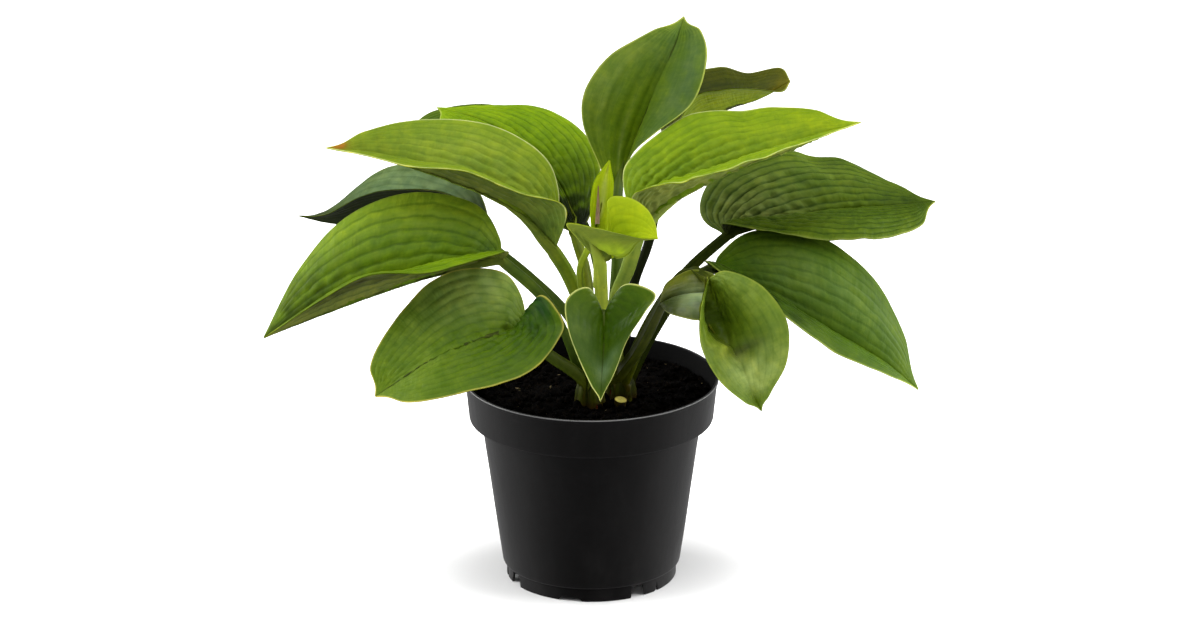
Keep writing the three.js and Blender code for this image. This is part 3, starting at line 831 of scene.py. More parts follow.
FORMS = {
    "leaf_01": Form(
        foot=(-7, -19), stalk=((-17, -30, 178), (-33, -34, 208)), girth=(3.5, 4, 4), arch=0.11,
        mid=((-60, -36, 233), (-92, -44, 229), (-131, -52, 219), (-173, -58, 205), (-216, -62, 189)),
        left=((-55, -49, 245), (-81, -87, 250), (-107, -102, 248), (-142, -99, 246), (-171, -82, 226)),
        right=((-61, -18, 245), (-77, -15, 267), (-119, -10, 273), (-161, -14, 258), (-193, -27, 226)),
    ),
    "leaf_02": Form(
        foot=(-5, -24), stalk=((-13, -37, 157), (-27, -56, 174)), girth=(4.6, 4.2, 3.6), arch=0.11,
        mid=((-47, -80, 197), (-54, -86, 198), (-72, -96, 198), (-101, -106, 190), (-141, -108, 165)),
        left=((-33, -90, 229), (-18, -106, 212), (-39, -124, 189), (-78, -133, 178), (-116, -126, 168)),
        right=((-44, -63, 212), (-58, -56, 233), (-94, -57, 233), (-122, -74, 215), (-143, -96, 186)),
    ),
    "leaf_03": Form(
        foot=(0, -13), stalk=((-3, -15, 178), (-13, -10, 211)), girth=(3.5, 4.5, 4.5), arch=0.11,
        mid=((-25, -8, 229), (-53, -8, 260), (-90, -8, 278), (-132, -8, 293), (-176, -6, 303)),
        left=((-17, -23, 267), (-48, -47, 285), (-82, -52, 301), (-117, -48, 303), (-148, -30, 305)),
        right=((-22, 16, 266), (-34, 24, 290), (-68, 32, 307), (-111, 31, 311), (-147, 18, 308)),
    ),
    "leaf_04": Form(
        foot=(4, -16), stalk=((0, 4, 179), (-3, 24, 204)), girth=(3.5, 3.5, 3.5), arch=0.11,
        mid=((-9, 45, 225), (-20, 70, 250), (-46, 88, 273), (-74, 100, 288), (-106, 105, 297)),
        left=((-24, 47, 232), (-45, 48, 246), (-75, 61, 259), (-92, 75, 276), (-102, 94, 288)),
        right=((0, 60, 236), (6, 84, 259), (-7, 107, 280), (-37, 128, 290), (-72, 123, 292)),
    ),
    "leaf_05": Form(
        foot=(15, -1), stalk=((8, 30, 184), (-1, 65, 215)), girth=(3, 3, 3), arch=0.11,
        mid=((-13, 95, 230), (-42, 125, 251), (-70, 145, 261), (-102, 160, 261), (-135, 168, 252)),
        left=((-22, 109, 225), (-45, 101, 239), (-76, 107, 252), (-104, 125, 257), (-126, 153, 251)),
        right=((-20, 138, 245), (-43, 167, 270), (-74, 184, 275), (-106, 188, 270), (-123, 182, 262)),
    ),
    "leaf_06": Form(
        foot=(-5, -14), stalk=((-13, -5, 180), (-41, 10, 206)), girth=(3.5, 3.8, 3.8), arch=0.11,
        mid=((-73, 30, 224), (-102, 42, 226), (-135, 52, 226), (-167, 58, 227), (-199, 60, 234)),
        left=((-68, 41, 232), (-87, 30, 255), (-112, 31, 262), (-149, 34, 258), (-178, 42, 241)),
        right=((-70, 48, 239), (-82, 69, 255), (-113, 86, 262), (-144, 91, 256), (-180, 87, 229)),
    ),
    "leaf_07": Form(
        foot=(14, -7), stalk=((14, 8, 177), (17, 18, 217)), girth=(3.6, 4, 4.6), arch=0.07,
        mid=((17, 30, 251), (25, 44, 280), (38, 54, 314), (52, 60, 345), (62, 62, 374)),
        left=((4, 37, 280), (-6, 38, 307), (-4, 39, 330), (12, 45, 351), (38, 53, 365)),
        right=((26, 38, 282), (42, 31, 301), (67, 34, 321), (77, 42, 348), (74, 60, 363)),
    ),
    "leaf_08": Form(
        foot=(20, 1), stalk=((28, 20, 195), (40, 36, 228)), girth=(3.2, 3.2, 3), arch=0.11,
        mid=((49, 60, 279), (69, 84, 293), (93, 100, 296), (114, 112, 300), (136, 119, 311)),
        left=((48, 98, 291), (60, 117, 313), (87, 130, 318), (107, 136, 312), (129, 131, 317)),
        right=((54, 60, 291), (70, 69, 315), (88, 75, 318), (106, 86, 316), (129, 105, 308)),
    ),
    "leaf_09": Form(
        foot=(20, -5), stalk=((15, -8, 190), (24.5, -4, 218)), girth=(4, 4.8, 4.8), arch=0.11,
        mid=((32, 0, 238), (56, -2, 263), (91, -4, 283), (133, -4, 301), (179, 0, 319)),
        left=((21, 20, 272), (32, 27, 291), (66, 35, 313), (107, 34, 318), (143, 23, 321)),
        right=((27, -16, 272), (45, -37, 287), (74, -49, 297), (105, -45, 306), (141, -27, 313)),
    ),
    "leaf_10": Form(
        foot=(25, -1), stalk=((43, 8, 181), (66, 18, 209)), girth=(4.2, 4.2, 4), arch=0.11,
        mid=((92, 28, 229), (123, 34, 237), (159, 40, 242), (195, 42, 246), (232, 42, 250)),
        left=((74, 53, 237), (84, 65, 261), (124, 77, 274), (165, 82, 269), (204, 71, 254)),
        right=((88, 20, 242), (116, 1, 242), (149, -7, 240), (184, 0, 237), (219, 24, 237)),
    ),
    "leaf_11": Form(
        foot=(26, -6), stalk=((41, -6, 177), (60, -8, 206)), girth=(4.8, 4.4, 3.9), arch=0.11,
        mid=((81, -10, 220), (116, -24, 205), (151, -34, 187), (188, -39, 168), (218, -38, 144)),
        left=((87, 6, 226), (107, 14, 238), (145, 12, 239), (185, 6, 212), (207, -10, 178)),
        right=((76, -26, 230), (101, -50, 219), (130, -64, 203), (160, -66, 181), (192, -56, 163)),
    ),
    "leaf_12": Form(
        foot=(23, -10), stalk=((40, -18, 186), (62, -33, 225)), girth=(4.2, 3.6, 3), arch=0.1,
        mid=((77, -62, 231), (80, -76, 212), (92, -84, 189), (103, -86, 166), (112, -84, 146)),
        left=((89, -76, 241), (111, -89, 235), (127, -99, 215), (128, -99, 187), (118, -95, 164)),
        right=((75, -84, 234), (71, -99, 221), (72, -109, 199), (83, -105, 175), (99, -97, 158)),
    ),
    "leaf_13": Form(
        foot=(1, -25), stalk=((2, -38, 173), (6, -50, 196)), girth=(2.6, 2.6, 2.6), arch=0.07,
        mid=((8, -58, 205), (8, -63, 195), (8, -69, 182), (7, -73, 166), (6, -74, 149)),
        left=((22, -63, 227), (42, -66, 222), (35, -72, 210), (24, -74, 193), (16, -76, 172)),
        right=((-2, -63, 225), (-16, -68, 219), (-16, -73, 203), (-9, -76, 182), (-1, -78, 164)),
    ),
    "leaf_14": Form(
        foot=(5, -21), stalk=((7, -34, 178), (6, -39, 208)), girth=(3.9, 4.8, 5), arch=-0.06,
        mid=((6, -42, 235), (15, -47, 240), (24, -50, 246), (32, -50, 253), (44, -46, 253)),
        left=((11, -43, 258), (11, -43, 279), (24, -41, 280), (36, -42, 273), (42, -44, 263)),
        right=((-9, -51, 255), (-16, -54, 266), (-1, -59, 266), (17, -63, 263), (32, -59, 258)),
    ),
    "leaf_15": Form(
        foot=(-1, -19), stalk=((-3, -24, 189), (-7, -34, 225)), girth=(2.4, 2.6, 2.6), arch=-0.25,
        mid=((-2, -36, 244), (3, -35, 258), (7, -32, 271), (9, -29, 286), (12, -27, 301)),
        left=((0.5, -40, 255), (-0.5, -39, 268), (0, -37, 279), (2, -35, 289), (8, -31, 297)),
        right=((10.5, -40, 255), (13, -38, 268), (14.2, -36, 278), (14.6, -34, 288), (13.3, -32, 295)),
    ),
    "leaf_16": Form(
        foot=(17, -11), stalk=((30, -27, 168), (39, -36, 189)), girth=(4.4, 4.2, 3.7), arch=0.18,
        mid=((45, -46, 208), (55, -52, 215), (68, -56, 219), (81, -54, 218), (94, -48, 212)),
        left=((49, -40, 219), (58, -43, 227), (67, -45, 231), (79, -43, 228), (91, -44, 218)),
        right=((50, -61, 207), (59, -71, 207), (72, -77, 207), (84, -69, 207), (93, -57, 209)),
    ),
}
LOOKS = {
    "leaf_01": Look(
        Slot.MID, upper=(94, 124, 12), fresh=(104, 132, 24), under=(96, 106, 50), ribs=7, quilt=2.2,
        pucker=1.1, margin=(150, 164, 70), drip=0.0, vein_shading=0.7,
        tint_and_light_patches=(
            TintAndLightPatch((0.95, 0.0), (0.4, 1.4), (48, 66, 0), 0.95),
            TintAndLightPatch((0.3, -0.7), (0.35, 0.35), (92, 120, 60), 0.5),
            # painted light: a pale lit patch by the right margin, where leaf_03 shades the blade
            TintAndLightPatch((0.42, -0.9), (0.3, 0.25), (128, 152, 40), 0.7),
            TintAndLightPatch((0.1, -0.5), (0.1, 0.4), (70, 100, 50), 0.5),
            TintAndLightPatch((0.7, 0.4), (0.3, 0.2), (40, 42, 12), 0.7, 1),
            # painted highlight: a pale silvery sheen on the underside by the left margin
            TintAndLightPatch((0.6, 0.9), (0.4, 0.12), (120, 128, 76), 0.6, 1),
        ),
    ),
    "leaf_02": Look(
        Slot.MID, upper=(66, 92, 6), fresh=(78, 102, 20), under=(60, 72, 30), quilt=1.5,
        pucker=1.6, slack=0.75, level=4.0, rough=0.42, wave=1.2, rim=0.9, margin=(168, 160, 84),
        # painted shade: the stalk's own olive, darkened for the shade low under the leaves
        crease=0.0, bare=0.0, spur=0.05, drip=0.2, vein_shading=0.58, stalk=(50, 62, 12),
        tint_and_light_patches=(
            TintAndLightPatch((0.1, 0.8), (0.32, 0.6), (28, 60, 16), 0.95),
            TintAndLightPatch((0.06, -0.2), (0.12, 0.6), (24, 38, 4), 0.85),
            # painted highlight: a pale lit patch at the upper edge of the right half
            TintAndLightPatch((0.42, -0.8), (0.2, 0.4), (124, 144, 84), 0.8),
            TintAndLightPatch((0.5, -0.5), (0.2, 0.25), (98, 118, 62), 0.5),
            TintAndLightPatch((0.85, 0.1), (0.2, 0.8), (92, 116, 40), 0.7),
        ),
    ),
    "leaf_03": Look(
        Slot.LIGHT, upper=(108, 132, 30), fresh=(120, 142, 36), under=(94, 106, 50), quilt=1.7, pucker=1.0,
        rough=0.55, rim=1.0, margin=(205, 208, 160), stalk=(84, 104, 22), vein_shading=0.5,
        tint_and_light_patches=(
            # painted light: lightens the underside next to the stalk, which lies in shade
            TintAndLightPatch((0.05, 0.5), (0.2, 0.9), (112, 138, 62), 0.7, 1),
            TintAndLightPatch((0.5, -0.4), (0.4, 0.5), (122, 142, 62), 0.5),
            TintAndLightPatch((0.06, -0.2), (0.18, 1.2), (76, 98, 20), 0.8),
            TintAndLightPatch((0.92, 0.0), (0.22, 1.2), (92, 110, 24), 0.8),
            TintAndLightPatch((0.95, -0.6), (0.03, 0.5), (140, 70, 30), 0.8),
        ),
    ),
    "leaf_04": Look(
        Slot.LIGHT, upper=(104, 136, 8), fresh=(118, 148, 20), under=(84, 98, 40), quilt=2.3, through=0.08,
        pucker=1.4, rim=0.6, stalk=(88, 102, 12), vein_shading=0.75,
        tint_and_light_patches=(
            # painted shadow: near black over the base of the blade
            TintAndLightPatch((0.0, 0.0), (0.32, 2.4), (8, 14, 0), 1.35),
            TintAndLightPatch((0.3, -0.3), (0.14, 0.7), (60, 86, 2), 0.4),
        ),
    ),
    "leaf_05": Look(
        Slot.DARK, upper=(60, 84, 12), fresh=(76, 98, 20), under=(50, 60, 24), quilt=1.3, rim=0.3,
    ),
    "leaf_06": Look(
        Slot.BLUE, upper=(48, 66, 22), fresh=(60, 80, 34), under=(30, 40, 8), rough=0.42, rim=0.3,
        quilt=1.0, pucker=0.8,
        tint_and_light_patches=(
            # painted reflection: a blue-grey satin sheen across the middle of the blade
            TintAndLightPatch((0.5, -0.4), (0.36, 0.9), (98, 122, 90), 0.95),
            # painted shadow: near black over the base of the blade
            TintAndLightPatch((0.02, -0.4), (0.22, 1.8), (6, 14, 0), 1.5),
            TintAndLightPatch((0.85, 0.0), (0.18, 1.4), (44, 54, 20), 0.7),
        ),
    ),
    "leaf_07": Look(
        Slot.MID, upper=(80, 106, 6), fresh=(94, 118, 32), under=(66, 80, 30), quilt=0.9,
        calm=(0.1, 1.0), pucker=0.4, level=3.2, slack=0.4, rim=0.9, lines=0.25, crease=0.3, vein_shading=0.5,
        tint_and_light_patches=(
            # painted highlight: a pale bluish satin sheen over the right half
            TintAndLightPatch((0.55, -0.7), (0.6, 0.45), (74, 98, 54), 0.95),
            TintAndLightPatch((0.85, 0.2), (0.2, 0.5), (82, 108, 58), 0.8),
            TintAndLightPatch((0.6, 0.8), (0.3, 0.3), (112, 132, 70), 0.6),
            TintAndLightPatch((0.4, 0.38), (0.3, 0.05), (62, 86, 0), 0.5),
            TintAndLightPatch((0.5, 0.62), (0.22, 0.04), (62, 86, 0), 0.5),
            TintAndLightPatch((0.45, 0.16), (0.3, 0.04), (62, 86, 0), 0.5),
            TintAndLightPatch((0.35, 0.82), (0.2, 0.05), (66, 90, 0), 0.5),
            TintAndLightPatch((0.3, 0.27), (0.25, 0.04), (112, 132, 62), 0.6),
            TintAndLightPatch((0.0, 0.0), (0.14, 1.2), (54, 68, 24), 0.7),
        ),
    ),
    "leaf_08": Look(
        Slot.DARK, upper=(58, 66, 8), fresh=(72, 74, 6), under=(118, 136, 26), quilt=0.7,
        through=0.12, drip=0.0, stalk=(22, 28, 6),
        tint_and_light_patches=(
            TintAndLightPatch((0.97, 0.0), (0.14, 1.0), (92, 88, 12), 0.8),
            TintAndLightPatch((0.4, 0.6), (0.3, 0.3), (40, 46, 4), 0.6),
        ),
    ),
    "leaf_09": Look(
        Slot.LIGHT, upper=(108, 136, 20), fresh=(118, 144, 30), under=(130, 142, 80), quilt=1.8,
        pucker=1.7, wave=1.6, rough=0.5, rim=1.0, margin=(196, 204, 150), stalk=(112, 132, 58), vein_shading=0.5,
        dents=(Dent((0.63, 1.0), (0.05, 0.4), -7),),
        tint_and_light_patches=(
            TintAndLightPatch((0.1, -0.6), (0.2, 0.6), (84, 112, 10), 0.7),
            TintAndLightPatch((0.05, 0.4), (0.32, 1.0), (84, 112, 16), 0.7),
            TintAndLightPatch((0.9, 0.3), (0.25, 0.9), (124, 146, 14), 0.7),
            TintAndLightPatch((0.5, 0.0), (0.3, 0.5), (100, 124, 36), 0.5),
        ),
    ),
    "leaf_10": Look(
        Slot.DARK, upper=(70, 94, 10), fresh=(82, 104, 22), under=(34, 40, 12), ribs=9, quilt=3.2,
        # painted shade: the stalk's own olive, darkened for the shade low under the leaves
        pucker=1.9, wave=2.0, lines=0.05, rim=0.6, rough=0.5, vein_shading=0.9, stalk=(44, 56, 10),
        dents=(Dent((0.6, 1.0), (0.05, 0.4), -8),),
        tint_and_light_patches=(
            TintAndLightPatch((0.6, 0.5), (0.4, 0.4), (92, 112, 50), 0.4),
            # painted highlight: a pale grey sheen between the ribs near the base
            TintAndLightPatch((0.2, 0.3), (0.2, 0.6), (122, 138, 84), 0.85),
            TintAndLightPatch((0.92, 0.0), (0.22, 1.0), (50, 72, 2), 0.7),
        ),
    ),
    "leaf_11": Look(
        Slot.MID, upper=(60, 86, 10), fresh=(76, 100, 18), under=(34, 44, 6), quilt=1.5, pucker=0.6,
        # painted shade: the stalk's own olive, darkened for the shade low under the leaves
        rim=0.6, stalk=(44, 56, 10),
        tint_and_light_patches=(
            TintAndLightPatch((0.5, 0.45), (0.35, 0.35), (88, 112, 56), 0.6),
            TintAndLightPatch((0.75, -0.5), (0.3, 0.4), (66, 96, 2), 0.7),
            # painted shade: darkens the right half where it lies under leaf_12
            TintAndLightPatch((0.35, -0.7), (0.25, 0.6), (30, 48, 0), 0.8),
            TintAndLightPatch((0.1, 0.6), (0.15, 0.5), (78, 112, 10), 0.6),
        ),
    ),
    "leaf_12": Look(
        Slot.MID, upper=(76, 98, 20), fresh=(96, 120, 44), under=(96, 106, 26), ribs=7, quilt=0.6,
        pucker=1.2, slack=0.8, level=2.0, rim=0.8, margin=(132, 146, 66), rough=0.4, crease=0.4, bare=0.0,
        # painted shade: the stalk's own olive, darkened for the shade low under the leaves
        vein_shading=0.45, stalk=(48, 58, 8),
        tint_and_light_patches=(
            # painted shade: the dark pocket in the hollow of the blade
            TintAndLightPatch((0.28, -0.25), (0.18, 0.45), (36, 54, 4), 0.8),
            # painted shadow: a dark line along the crease across the blade
            TintAndLightPatch((0.53, 0.2), (0.03, 0.35), (40, 52, 6), 0.8),
            # painted light: a pale lit band over the swelling below the crease
            TintAndLightPatch((0.69, 0.0), (0.13, 0.9), (150, 168, 104), 0.95),
            TintAndLightPatch((0.9, 0.0), (0.06, 0.8), (70, 94, 6), 0.8),
            # painted shade: tones down the right margin strip, which faces the side light
            TintAndLightPatch((0.5, -0.85), (0.35, 0.25), (84, 104, 28), 0.7),
            # painted highlight: the pale crest of the small crumple
            TintAndLightPatch((0.49, -0.4), (0.05, 0.3), (140, 152, 60), 0.6),
            TintAndLightPatch((0.2, 0.8), (0.3, 0.25), (104, 126, 62), 0.6),
        ),
        dents=(
            Dent((0.3, -0.15), (0.17, 0.5), -10.0), Dent((0.68, 0.0), (0.13, 0.9), 6.0),
            Dent((0.49, -0.4), (0.03, 0.3), 3.4), Dent((0.54, 0.2), (0.03, 0.3), -3.0),
        ),
    ),
    "leaf_13": Look(
        Slot.GLOSS, upper=(50, 76, 2), fresh=(66, 92, 12), under=(60, 74, 24), ribs=6, quilt=0.5,
        pucker=0.25, level=1.6, rough=0.34, rim=1.0, margin=(190, 198, 130), bare=0.0, crease=0.6, vein_shading=0.3,
        tint_and_light_patches=(
            # painted highlight: a soft bluish sheen on the right half
            TintAndLightPatch((0.5, -0.7), (0.2, 0.3), (96, 118, 74), 0.5),
            # painted highlight: a bluish sheen across the blade toward the tip
            TintAndLightPatch((0.72, 0.2), (0.1, 0.5), (104, 132, 104), 0.6),
            TintAndLightPatch((0.1, -0.9), (0.1, 0.3), (104, 126, 16), 0.6),
            TintAndLightPatch((0.3, 0.2), (0.15, 0.4), (44, 72, 2), 0.6),
        ),
    ),
    "leaf_14": Look(
        Slot.YOUNG, upper=(150, 174, 24), fresh=(156, 178, 34), under=(102, 118, 50),
        margin=(176, 192, 70), stalk=(128, 146, 52), ribs=6, quilt=1.0, calm=(1.5, 0.6), pucker=0.2,
        level=0.3, through=0.2, rim=0.6, bare=0.0, spur=0.05, drip=0.0, vein_shading=0.3,
        tint_and_light_patches=(
            TintAndLightPatch((0.46, -0.2), (0.16, 0.3), (142, 168, 40), 0.95, 1),
            # painted shadow: a dark line on the underside along the crease by the pouch
            TintAndLightPatch((0.24, -0.25), (0.05, 0.3), (74, 92, 24), 0.8, 1),
            TintAndLightPatch((0.15, -0.7), (0.14, 0.4), (92, 108, 40), 0.5, 1),
        ),
        dents=(Dent((0.46, -0.2), (0.15, 0.26), -5.5), Dent((0.25, -0.3), (0.05, 0.35), 2.4)),
        gusset=((6, -39.5, 218, 4.9), (5.6, -44, 236, 4.3), (2.5, -49, 246, 2.8), (-1.5, -52.5, 254, 0.4)),
    ),
    "leaf_15": Look(
        Slot.YOUNG, upper=(162, 184, 30), fresh=(166, 188, 40), under=(160, 182, 40), ribs=4,
        quilt=0.3, pucker=0.05, level=0.0, through=0.15, drip=0.0, vein_shading=0.3, stalk=(98, 118, 26),
        tint_and_light_patches=(
            TintAndLightPatch((0.5, 0.0), (0.6, 0.14), (190, 204, 116), 0.8),
            TintAndLightPatch((0.0, 0), (0.2, 1), (60, 76, 4), 0.7),
        ),
    ),
    "leaf_16": Look(
        Slot.GLOSS, upper=(46, 58, 6), fresh=(62, 72, 6), under=(40, 48, 12), ribs=5, quilt=0.3,
        # painted shade: the stalk's own olive, darkened for the shade low under the leaves
        pucker=0.1, level=0.4, rough=0.34, rim=0.3, vein_shading=0.4, stalk=(44, 52, 6),
        tint_and_light_patches=(
            TintAndLightPatch((0.35, 0.7), (0.4, 0.4), (96, 104, 4), 0.85),
            # painted reflection: a bluish satin sheen on the right half
            TintAndLightPatch((0.52, -0.25), (0.2, 0.5), (130, 150, 122), 0.85),
        ),
    ),
}

NEAR_RIB = (0, 0.008, 0.02, 0.035)  # places of the columns close to the midrib
NEAR_MARGIN = (0.985, 0.995, 1)  # and close to the margin
UNDER_ROUGH = 0.62  # roughness of every underside
STALK_RINGS = 60  # rings of a stalk from its foot to the blade
STALK_SIDES = 28  # points on each of them
RUN = np.array([0.02, 0.05, 0.09, 0.14, 0.2, 0.28, 0.38])  # its rings below the midrib
ROD_STEPS = 24  # rings of a run-out, and points on each
FOOT_HEIGHTS = (120, 136, 143)  # heights in mm of a stalk's first points, straight above its foot
FOOT_GIRTH = (3.1, 3.7, 4.1)  # its radii there


@dataclass
class Leaf:
    """One leaf: a blade on its stalk.

    Attributes:
        name: the node it stands for.
        form: its curves.
        look: its colours and surface.
        seed: seed of its small unevenness; every field adds a number of its own to it.
        rows: steps along the blade.
        columns: steps across each half.
        half: half the blade's thickness, in mm.
    """

    name: str
    form: Form
    look: Look
    seed: int
    rows: int = 110
    columns: int = 52
    half: float = 0.25

    def curves(self) -> tuple[Array, Array, Array]:
        """Midrib, left and right margin.

        Returns:
            Their points; the margins begin and end where the midrib does.
        """
        mid = np.array(self.form.mid, float)
        sides = [np.array(side, float) for side in (self.form.left, self.form.right)]
        left, right = (np.vstack([mid[:1], side, mid[-1:]]) for side in sides)
        return mid, left, right

    def steps(self) -> tuple[Array, Array]:
        """Places of the blade's rows and columns.

        Returns:
            Fractions along, closer together at both ends, and signed fractions across, with finer steps
            at the midrib and the margins.
        """
        even = np.linspace(0, 1, self.columns)[1:-1]
        half = np.unique(np.concatenate([NEAR_RIB, even, NEAR_MARGIN]))
        across = np.concatenate([-half[:0:-1], half])
        u = np.linspace(0, 1, self.rows)
        along = 0.004 + 0.992 * (0.75 * u + 0.25 * (3 * u**2 - 2 * u**3))
        return along, across

    def flat(self, t: Array, s: Array) -> tuple[Array, Array]:
        """Ruled sheet between the midrib and the margins.

        Args:
            t: fractions along, as a column.
            s: signed fractions across, as a row.

        Returns:
            Its points c (1 - |s|) + m |s| between midrib c and margin m, and the half width |m - c| in mm
            on the same grid.
        """
        mid, left, right = self.curves()
        centre = spline(mid, t)
        rim = np.where((s > 0)[..., None], spline(left, t), spline(right, t))
        rim = centre + (rim - centre) * (1 - self.look.drip * smooth(t, 0.86, 0.97))[..., None]
        share = np.abs(s)[..., None]
        return centre * (1 - share) + rim * share, np.linalg.norm(rim - centre, axis=-1)

    def sheet(self, t: Array, s: Array) -> tuple[Array, Array, Array]:
        """Middle sheet of the blade.

        Args:
            t: fractions along.
            s: signed fractions across.

        Returns:
            The ruled sheet, arched by 4 u (1 - u) of the half width with u = |s|, its fold filled near the
            midrib, and quilted between the veins, rows by columns by 3; its upward normals; and the half
            width in mm.
        """
        t, s = t[:, None], s[None, :]
        points, span = self.flat(t, s)
        near = np.clip(t, 0.03, 0.97)
        lengthwise = self.flat(near + 0.03, s)[0] - self.flat(near - 0.03, s)[0]
        mid, left, right = self.curves()
        centre = spline(mid, near)
        rim = np.where((s > 0)[..., None], spline(left, near) - centre, centre - spline(right, near))
        normal = unit(np.cross(lengthwise, rim))
        u = np.abs(s)
        widest = np.where(s > 0, span[:, -1].max(), span[:, 0].max())
        body = np.clip(span / widest, 0, 1)
        arch = self.form.arch * (1 - self.look.slack) * 4 * u * (1 - u) * span
        crease = self.look.crease
        filling = crease * np.exp(-((u / 0.4) ** 2)) + (1 - crease) * np.exp(-u / 0.3)
        fill = self.look.level * filling * body
        points = points + normal * (arch + fill + self.relief(points, t, s, body))[..., None]
        return points, self.normals(points), span

    def veins(self, t: Array, s: Array) -> Array:
        """Vein coordinate, whole at each vein.

        Args:
            t: fractions along.
            s: signed fractions across.

        Returns:
            n u and a slow wander, with n veins in each half and u = |s|. Where the midrib is soft it starts
            at half a vein, so that no valley runs along it.
        """
        u, crease = np.abs(s), self.look.crease
        count = u * self.look.ribs
        length = travelled(np.array(self.form.mid, float))[-1]
        spot = np.stack([t * length + 0 * s, count * 5 + 0 * t, np.sign(s) * 30 + 0 * t], -1)
        wander = 0.14 * ripple(spot, 13.0, self.seed + 17, 2)
        count = np.where(count < 0.5, 0.5 - crease * (0.5 - count), count)
        return np.abs(count + wander * smooth(u, 0.02, 0.15) * smooth(1 - u, 0.0, 0.1))

    def relief(self, points: Array, t: Array, s: Array, body: Array) -> Array:
        """Fine height of the sheet.

        Args:
            points: the sheet's points in mm.
            t: fractions along.
            s: signed fractions across.
            body: the half width as a share of the widest.

        Returns:
            Ridges |sin(pi v)| between the veins, with vein coordinate v, that die away toward the tip,
            crinkles across them, the leaf's own dents, and waves of the margin, in mm.
        """
        look, u = self.look, np.abs(s)
        along = travelled(points[:, s.shape[1] // 2])[:, None] + 0 * u
        ridge = np.abs(np.sin(math.pi * self.veins(t, s))) ** 0.6
        half = np.where(s < 0, look.calm[0], look.calm[1])
        uneven = 0.8 + 0.35 * ripple(points, 48.0, self.seed + 5, 2)
        ridge = (ridge - 0.35) * half * uneven * (1 - 0.6 * smooth(t, 0.3, 0.95))
        cells = np.stack([along * 1.5, u * look.ribs * 8 + 0 * along, np.sign(s) * 20 + 0 * along], -1)
        crinkle = ripple(cells, 10.0, self.seed, 2) * (0.4 + 0.6 * (1 - smooth(t, 0.1, 0.6))) * half
        slow = ripple(points, 46.0, self.seed + 3, 2) * 0.6
        margin = ripple(points, 28.0, self.seed + 7, 2) * u**4
        fade = body**0.7 * (1 - u**8) * smooth(1 - t, 0.0, 0.1)
        height = fade * (look.quilt * ridge + look.pucker * crinkle + slow) + look.wave * margin * body
        for dent in look.dents:
            height = height + dent.height * nearness(dent, t, s) * (1 - 0.6 * u**6)
        return height

    @staticmethod
    def normals(points: Array) -> Array:
        """Upward normals of a grid: rows' direction x columns' direction."""
        return unit(np.cross(np.gradient(points, axis=0), np.gradient(points, axis=1)))

    def blade(self) -> Shell:
        """The blade: the sheet thickened both ways.

        Returns:
            The blade, with a groove exp(-(d / w)^2) along the midrib above and a keel of that form below,
            where d is the distance from the midrib and w the width.
        """
        t, s = self.steps()
        points, normal, span = self.sheet(t, s)
        away = np.abs(s)[None, :] * span
        taper = (1 - t)[:, None]
        groove = self.look.crease * (0.1 + 0.35 * taper) * np.exp(-((away / (0.9 + 0.9 * taper)) ** 2))
        keel = (0.2 + 1.3 * taper) * np.exp(-((away / (0.8 + 0.8 * taper)) ** 2))
        upper = points + normal * (self.half - groove)[..., None]
        lower = points - normal * (self.half + keel)[..., None]
        shell = slab(upper, lower)
        shell.skin = self.blade_skin(t, s, span, points)
        return shell

    def blade_skin(self, t: Array, s: Array, span: Array, points: Array) -> Skin:
        """Skin of both faces of the blade.

        Args:
            t: fractions along.
            s: signed fractions across.
            span: half width in mm.
            points: the sheet's points.

        Returns:
            The skin, upper face first.
        """
        look = self.look
        upper, fresh, under, margin, stalk = (
            linear(*steps) for steps in (look.upper, look.fresh, look.under, look.margin, look.stalk)
        )
        t, s = t[:, None] + 0 * s[None, :], s[None, :] + 0 * t[:, None]
        u = np.abs(s)
        edge = (1 - u) * span
        freshness = np.clip(0.55 * smooth(u, 0.3, 1) + 0.35 * smooth(t, 0.55, 1), 0, 1)
        freshness = np.clip(freshness + 0.25 * ripple(points, 38.0, self.seed + 11, 2), 0, 1)[..., None]
        tissue = upper * (1 - freshness) + fresh * freshness
        under = under * (0.85 + 0.15 * freshness)
        under = under + (stalk - under) * 0.7 * (1 - smooth(t, 0.02, 0.2))[..., None]
        faces = [tissue, under]
        uneven = 1 + 0.5 * ripple(points, 12.0, self.seed + 13, 2)
        # the leaf's own tints and the patches of painted light and shade are laid on its faces
        for colour_patch in look.tint_and_light_patches:
            share = np.clip(colour_patch.amount * nearness(colour_patch, t, s) * uneven, 0, 1)[..., None]
            faces[colour_patch.face] = faces[colour_patch.face] * (1 - share) + linear(*colour_patch.colour) * share
        rib = look.crease * np.exp(-((u * span / 1.0) ** 2))[..., None]
        faces = [f * (1 - w * rib) + (stalk * 0.5 + f * 0.5) * w * rib for f, w in zip(faces, (0.3, 0.6))]
        band = (1 - smooth(edge, 0.35, 1.15)) * smooth(t, look.bare * 0.6, look.bare + 0.01) * look.rim
        colours = [f * (1 - band[..., None]) + margin * band[..., None] for f in faces]
        along = travelled(points[:, s.shape[1] // 2])[:, None] + 0 * u
        blade = np.stack([self.veins(t, s), along, span / look.ribs], -1)
        # first column: strength of the painted shade in the vein valleys
        mask = np.stack([look.vein_shading + 0 * u, 0 * u, 0 * u], -1)
        sides = []
        for colour, rough in zip(colours, (look.rough, UNDER_ROUGH)):
            finish = np.stack([rough + 0 * u, look.lines * (1 - band), look.through * (1 - band)], -1)
            sides.append([values.reshape(-1, 3) for values in (colour, blade, mask, finish)])
        return Skin(*(np.concatenate(pair) for pair in zip(*sides)))

